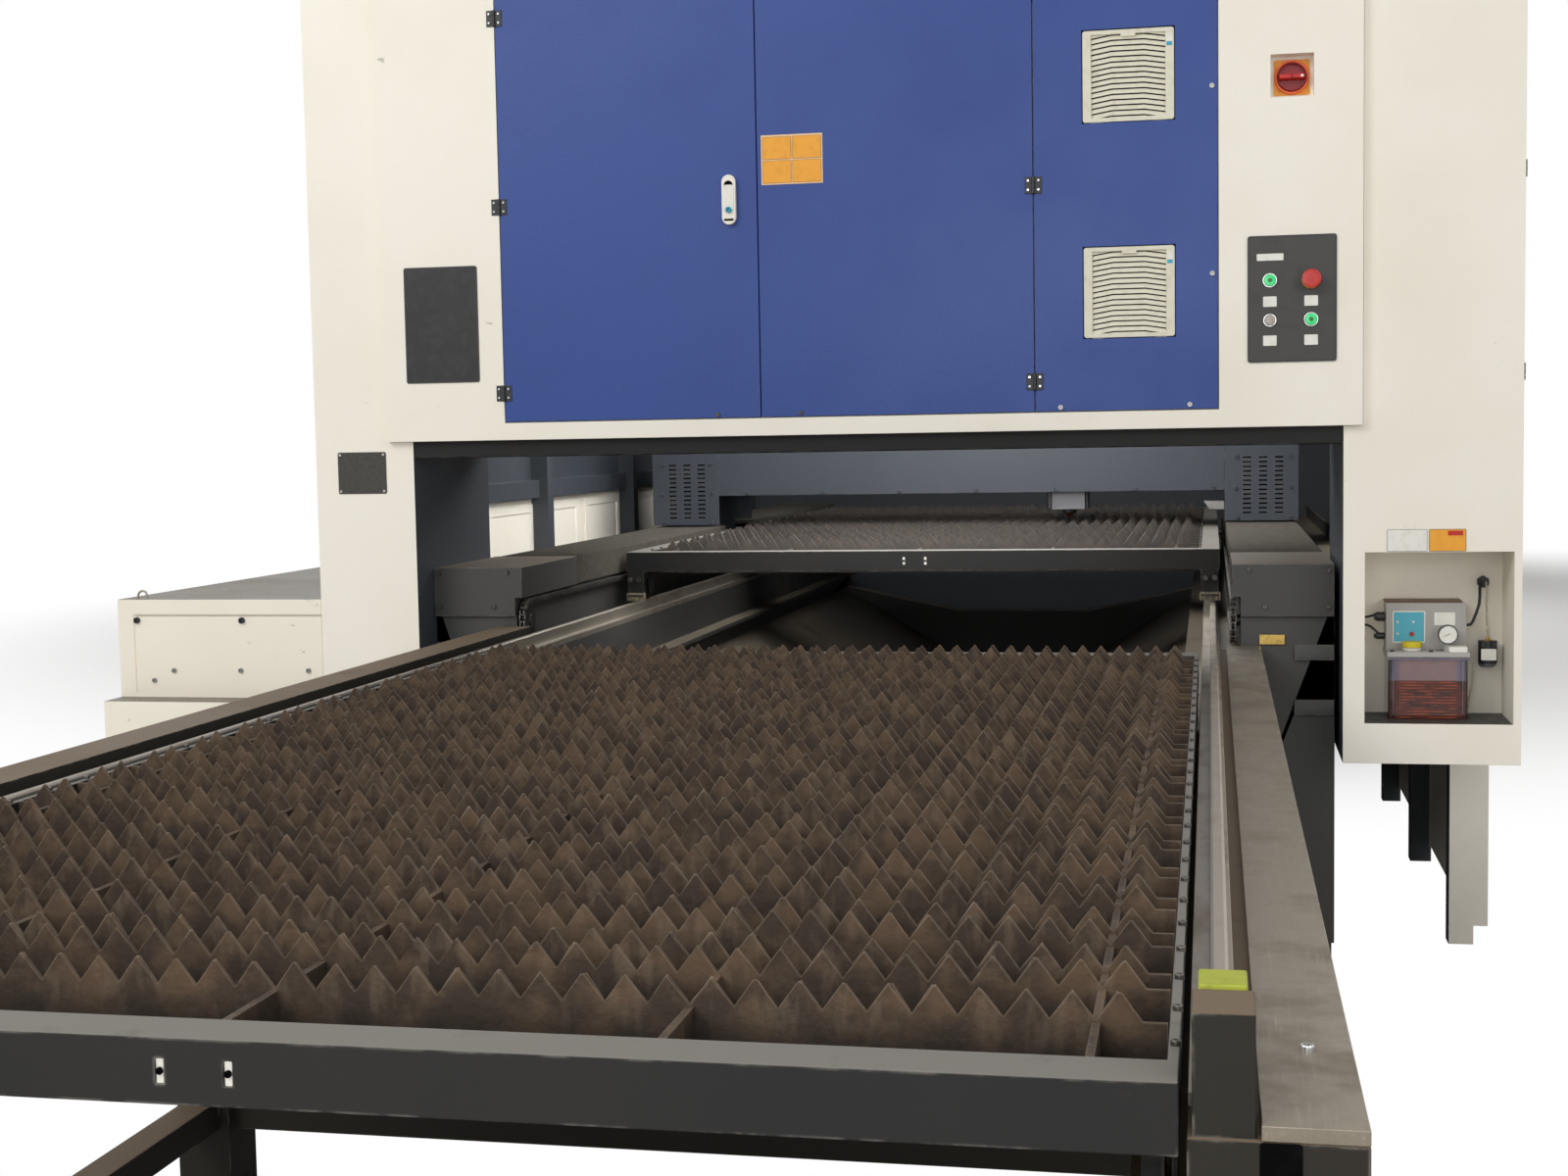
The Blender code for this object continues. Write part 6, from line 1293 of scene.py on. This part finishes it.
# %% [markdown]
# ## Seams of the walls
#
# Walls this long are made of several sheets that are screwed to posts behind them, so each
# wall shows upright joints and a column of screws at both sides of every joint. A joint is a
# thin dark strip, narrowed towards its outside, and the strips of a wall are copies of one.


# %% Joints and screws on the walls and the roof
def wall_joints(name, low, high, steps, side, drop):
    """Dark joints between the sheets of one wall, with their screws."""
    strip = resized(block(name, low, high), side, (0.6, 0.6, 0.999))
    rest()
    repeated(strip, [Vector(step) for step in steps[1:]])
    handed(strip, "dark_gap")
    middle = (Vector(low) + Vector(high)) / 2
    beside = Vector((0.045, 0.0, 0.0) if side == "+y" else (0.0, 0.045, 0.0))
    places = [middle + Vector(step) + beside * way + Vector(drop) * share
              for step in steps for way in (-1, 1) for share in (-0.47, -0.16, 0.16, 0.47)]
    screws(name + "_screws", [tuple(place) for place in places], 0.0065, "cover_grey", side=side, sides=10)


FOOT, HEAD, JOINT = 0.10, 2.55, (1.4190, 1.4220)
along_y = [(0.0, 0.86 * number, 0.0) for number in range(4)]
upright = (0.0, 0.0, HEAD - FOOT)
wall_joints("joints_right", (1.5688, JOINT[0], FOOT), (1.5694, JOINT[1], HEAD), along_y, "+x", upright)
wall_joints("joints_left", (-1.4244, JOINT[0], FOOT), (-1.4238, JOINT[1], HEAD), along_y, "-x", upright)
wall_joints("joints_rear", (-0.4290, 4.8998, FOOT), (-0.4260, 4.9004, HEAD), [(0, 0, 0), (1.0, 0, 0)], "+y",
            upright)
wall_joints("joints_roof", (-1.4200, JOINT[0], 2.5998), (1.5650, JOINT[1], 2.6004), along_y, "+z",
            (2.98, 0, 0))
print("wall joints")

# %% [markdown]
# ## Track guard, bumpers and beam ends
#
# A flat guard of folded sheet runs along the left track, where people walk. The bumpers on
# the stop blocks are cast polyurethane pads with soft edges, and the ends of the two beams
# are open tubes, which show as black rectangles of painted shade with a lip.

# %% Guard, pads and tube ends
guard = opened(block("track_guard", (-0.977, -3.368, 0.8362), (-0.889, 0.108, 0.881)), "-z")
modified(guard, "SOLIDIFY", thickness=0.003, offset=-1.0)
handed(rounded(guard, 0.0015), "platform_paint")
for side, hand in ((1.0, "right"), (-1.0, "left")):
    x = side * 0.8665
    pad = block("pad_" + hand, (x - 0.0198, -3.3705, 0.8862), (x + 0.0198, -3.3209, 0.9258))
    handed(rounded(dished(pad, "+z", 0.006, -0.0008), 0.0022, 3), "bumper_rubber",
           stands_for=("bumper_" + hand,))
    xs = sorted((side * 0.8935, side * 0.9260))
    # The open ends of the beams are black plates of painted shade.
    plate("beam_end_" + hand, (xs[0], -3.4466, 0.690), (xs[1], -3.4458, 0.8228), 0.003, "dark_gap")
screws("plate_screw", [(0.938, -3.2436, 0.836)], 0.0065, "chromed", side="+z", sides=20)
print("guard, pads and tube ends")

# %% [markdown]
# ## Lubricator
#
# The small pump in the recess greases the guides. Its head carries a soft keypad, a blank
# field and a pressure gauge, and a yellow cap closes its filler. The gauge is a short rod
# with a stepped rim, and its dial has plain ticks round the edge and one needle.

# %% Keypad, fields and cap rim on the pump head
PUMP_FRONT, FLANGE_TOP, CAP_X, CAP_Y, CROWN_Z = 0.1302, 0.8256, 1.332, 0.1057, 0.8411
plate("pump_edge", (1.2727, 0.1295, 0.9395), (1.4500, 0.1985, 0.9442), 0.001, "brown_rim")
plate("keypad", (1.289, 0.1300, 0.8422), (1.365, 0.1319, 0.9190), 0.004, "keypad_blue", rim="white_label",
      rim_width=0.0025)
dots = [(x, PUMP_FRONT, z) for x, z in ((1.3003, 0.8926), (1.3371, 0.8926), (1.3003, 0.8640))]
screws("keypad_dots", dots, 0.0032, "white_label")
screws("keypad_key", [(1.3337, PUMP_FRONT, 0.8635)], 0.0052, "red_plastic", sides=20)
plate("pump_field", (1.386, 0.1303, 0.8848), (1.434, 0.1319, 0.9155), 0.001, "white_label")
cap_ring = rod("cap_ring", (CAP_X, CAP_Y, 0.8298), 0.0218, 0.0078, "Z", 40)
inset(cap_ring, "+z", 0.0040)
handed(rounded(cap_ring, 0.0008), "pale_cap")
crown = rod("cap_crown", (CAP_X, CAP_Y, CROWN_Z), 0.0228, 0.0136, "Z", 48)
toothed(crown, "z", 24, (0.96, 0.96, 1.0), (CAP_X, CAP_Y, CROWN_Z))
dished(crown, "+z", 0.0050, -0.0010)
handed(rounded(crown, 0.0006), "yellow_plastic", "filler_cap", ("filler_cap",))
plate("port_block", (1.4145, 0.0720, 0.8258), (1.4560, 0.1200, 0.8380), 0.001, "white_label")
screws("flange_screws", [(x, y, FLANGE_TOP) for x, y in ((1.285, 0.085), (1.373, 0.077), (1.452, 0.128))],
       0.005, side="+z", sides=10)
print("pump head")

# %% Tank
tank_body = corners(block("oil_tank", (1.275, 0.0797, 0.6633), (1.459, 0.1997, 0.8133)), "z", 0.009, 4)
sunk(tank_body, "-y", 0.010, 0.0012)
handed(rounded(tank_body, 0.0015), "oil_amber", stands_for=("lubricator_tank",))
# Light strips near the tank's sides are painted highlights on its clear plastic.
for side, x in (("left", 1.2875), ("right", 1.4465)):
    edge = block("tank_edge_" + side, (x - 0.0022, 0.0790, 0.672), (x + 0.0022, 0.0812, 0.806))
    handed(rounded(resized(edge, "-y", (0.4, 1.0, 0.98)), 0.0006), "keypad_grey")
plate("tank_lip", (1.2735, 0.0785, 0.8065), (1.4605, 0.1990, 0.8132), 0.001, "keypad_grey")
print("tank")

# %% Gauge
DIAL_X, DIAL_Z = 1.414, 0.8656
dial_turns = (-135, -108, -81, -54, -27, 27, 54, 81, 108, 135)


def on_dial(degrees):
    """The move that turns a piece about the dial's middle."""
    centre = at(DIAL_X, 0.0, DIAL_Z)
    turn = Matrix.Rotation(math.radians(degrees), 4, "Y")
    return Matrix.Translation(centre) @ turn @ Matrix.Translation(-centre)


def on_face(middle, normal):
    """Passes the dial's flat front, inside the rim."""
    return normal.y < -0.9 and math.hypot(middle.x - DIAL_X, middle.z - DIAL_Z) < 0.01


gauge = rod("gauge_case", (DIAL_X, 0.0980, DIAL_Z), 0.0232, 0.0150, "Y", 48)
handed(rounded(sunk(gauge, "-y", 0.0022, 0.0022), 0.0005), "dark_rim")
touched(gauge, on_face, "white_label")
bezel = rod("gauge_bezel", (DIAL_X, 0.0931, DIAL_Z), 0.0212, 0.0012, "Y", 48)
handed(sunk(bezel, "-y", 0.0014, 0.0010), "chromed")
touched(bezel, on_face, "white_label")
tick = block("gauge_ticks", (1.4135, 0.0929, 0.8796), (1.4145, 0.0936, 0.8838))
resized(tick, "-z", (0.6, 1.0, 1.0), (DIAL_X, 0.09325, 0.8796))
rest()
handed(repeated(tick, [on_dial(degrees) for degrees in dial_turns]), "black_plastic")
needle = block("gauge_needle", (1.4132, 0.0922, 0.8606), (1.4148, 0.0927, 0.8780))
resized(needle, "+z", (0.3, 1.0, 1.0), (DIAL_X, 0.09245, 0.8780))
rest()
needle.data.transform(on_dial(-118))
handed(needle, "black_plastic")
print("gauge:", len(gauge.data.polygons) + len(tick.data.polygons), "faces")


# %% Thin lines in the recess
def line(name, points, radius, finish):
    """A thin hose or cable along a smooth path, as a mesh."""
    rest()
    bpy.ops.curve.primitive_nurbs_path_add(location=(0.0, 0.0, 0.0))
    made = bpy.context.object
    made.name = name
    spline = made.data.splines[0]
    spline.points.add(max(0, len(points) - len(spline.points)))
    for index, knot in enumerate(spline.points):
        knot.co = (*at(*points[min(index, len(points) - 1)]), 1.0)
    spline.use_endpoint_u, spline.order_u = True, 3
    made.data.resolution_u, made.data.bevel_resolution = 6, 3
    made.data.bevel_depth, made.data.use_fill_caps = radius, True
    bpy.ops.object.convert(target="MESH")
    return handed(made, finish, smooth=60.0)


line("clear_return", [(1.4770, 0.150, 0.795), (1.4790, 0.147, 0.775), (1.4740, 0.146, 0.73),
                      (1.4680, 0.15, 0.70), (1.4665, 0.16, 0.672)], 0.0022, "clear_hose")
line("left_cable_a", [(1.2730, 0.150, 0.904), (1.2620, 0.149, 0.905), (1.2480, 0.150, 0.908),
                      (1.2330, 0.16, 0.902), (1.2160, 0.17, 0.899)], 0.0030, "black_plastic")
line("left_cable_b", [(1.2730, 0.150, 0.857), (1.2620, 0.149, 0.859), (1.2480, 0.150, 0.873),
                      (1.2330, 0.16, 0.884), (1.2160, 0.17, 0.884)], 0.0030, "black_plastic")
for name, z, radius in (("left_gland_a", 0.904, 0.0112), ("left_gland_b", 0.857, 0.0080)):
    gland = sunk(rod(name, (1.2620, 0.150, z), radius, 0.0200, "X", 16), "-x", 0.0025, -0.005)
    handed(rounded(gland, 0.0008), "black_plastic")
fitting = sunk(rod("hose_fitting", (1.513, 0.1637, 0.8475), 0.0065, 0.0070, "Z", 6), "+z", 0.0018, 0.003)
handed(rounded(fitting, 0.0005), "brass_block")
plate("filter_field", (1.4955, 0.1405, 0.7990), (1.5305, 0.1425, 0.8265), 0.002, "white_label")
foot = sunk(rod("filter_foot", (1.513, 0.1697, 0.7865), 0.0205, 0.0060, "Z", 32), "-z", 0.004, -0.0030)
handed(rounded(foot, 0.0006), "head_grey")
screws("filter_knobs", [(1.501, 0.1417, 0.8365), (1.525, 0.1417, 0.8365)], 0.0055, "dark_rim")
line("lift_loop", [(-1.958, 0.020, 0.958), (-1.958, 0.020, 0.982), (-1.932, 0.020, 0.984),
                   (-1.930, 0.020, 0.958)], 0.0030, "bright_steel")
print("recess lines and the cabinet's lifting loop")

# %% [markdown]
# ## Floor
#
# The floor is one wide pale plane, and the machine's shadow is all that it has to show. Far
# from the machine it fades into the white of the sky, so that no horizon is seen: there the
# camera sees an even glow in place of the lit plane.

# %% Floor and backdrop
rest()
bpy.ops.mesh.primitive_plane_add(size=60.0, location=(0.0, 10.0, 0.0))
floor = bpy.context.object
floor.name = "studio_floor"
ground = Finish("studio_ground", Roughness=0.9)
ground.set(Base_Color=ground.mix(ground.noise(1.5) * 0.3, "E6E5E3", "DFDEDC"))
reach = ground.node("VectorMath", {"operation": "LENGTH"}, {0: ground.place}, "Value")
far = ground.mask(reach, 3.8, 9.0) * ground.node("LightPath", None, None, "Is Camera Ray")
glow = ground.node("Emission", None, {"Color": (1.0, 1.0, 1.0, 1.0), "Strength": 1.0})
lit = Wire(ground, ground.shader.outputs[0])
both = ground.node("MixShader", None, {0: far, 1: lit, 2: glow})
ground.tree.links.new(both.socket, ground.tree.nodes["Material Output"].inputs["Surface"])
floor.data.materials.append(ground.material)
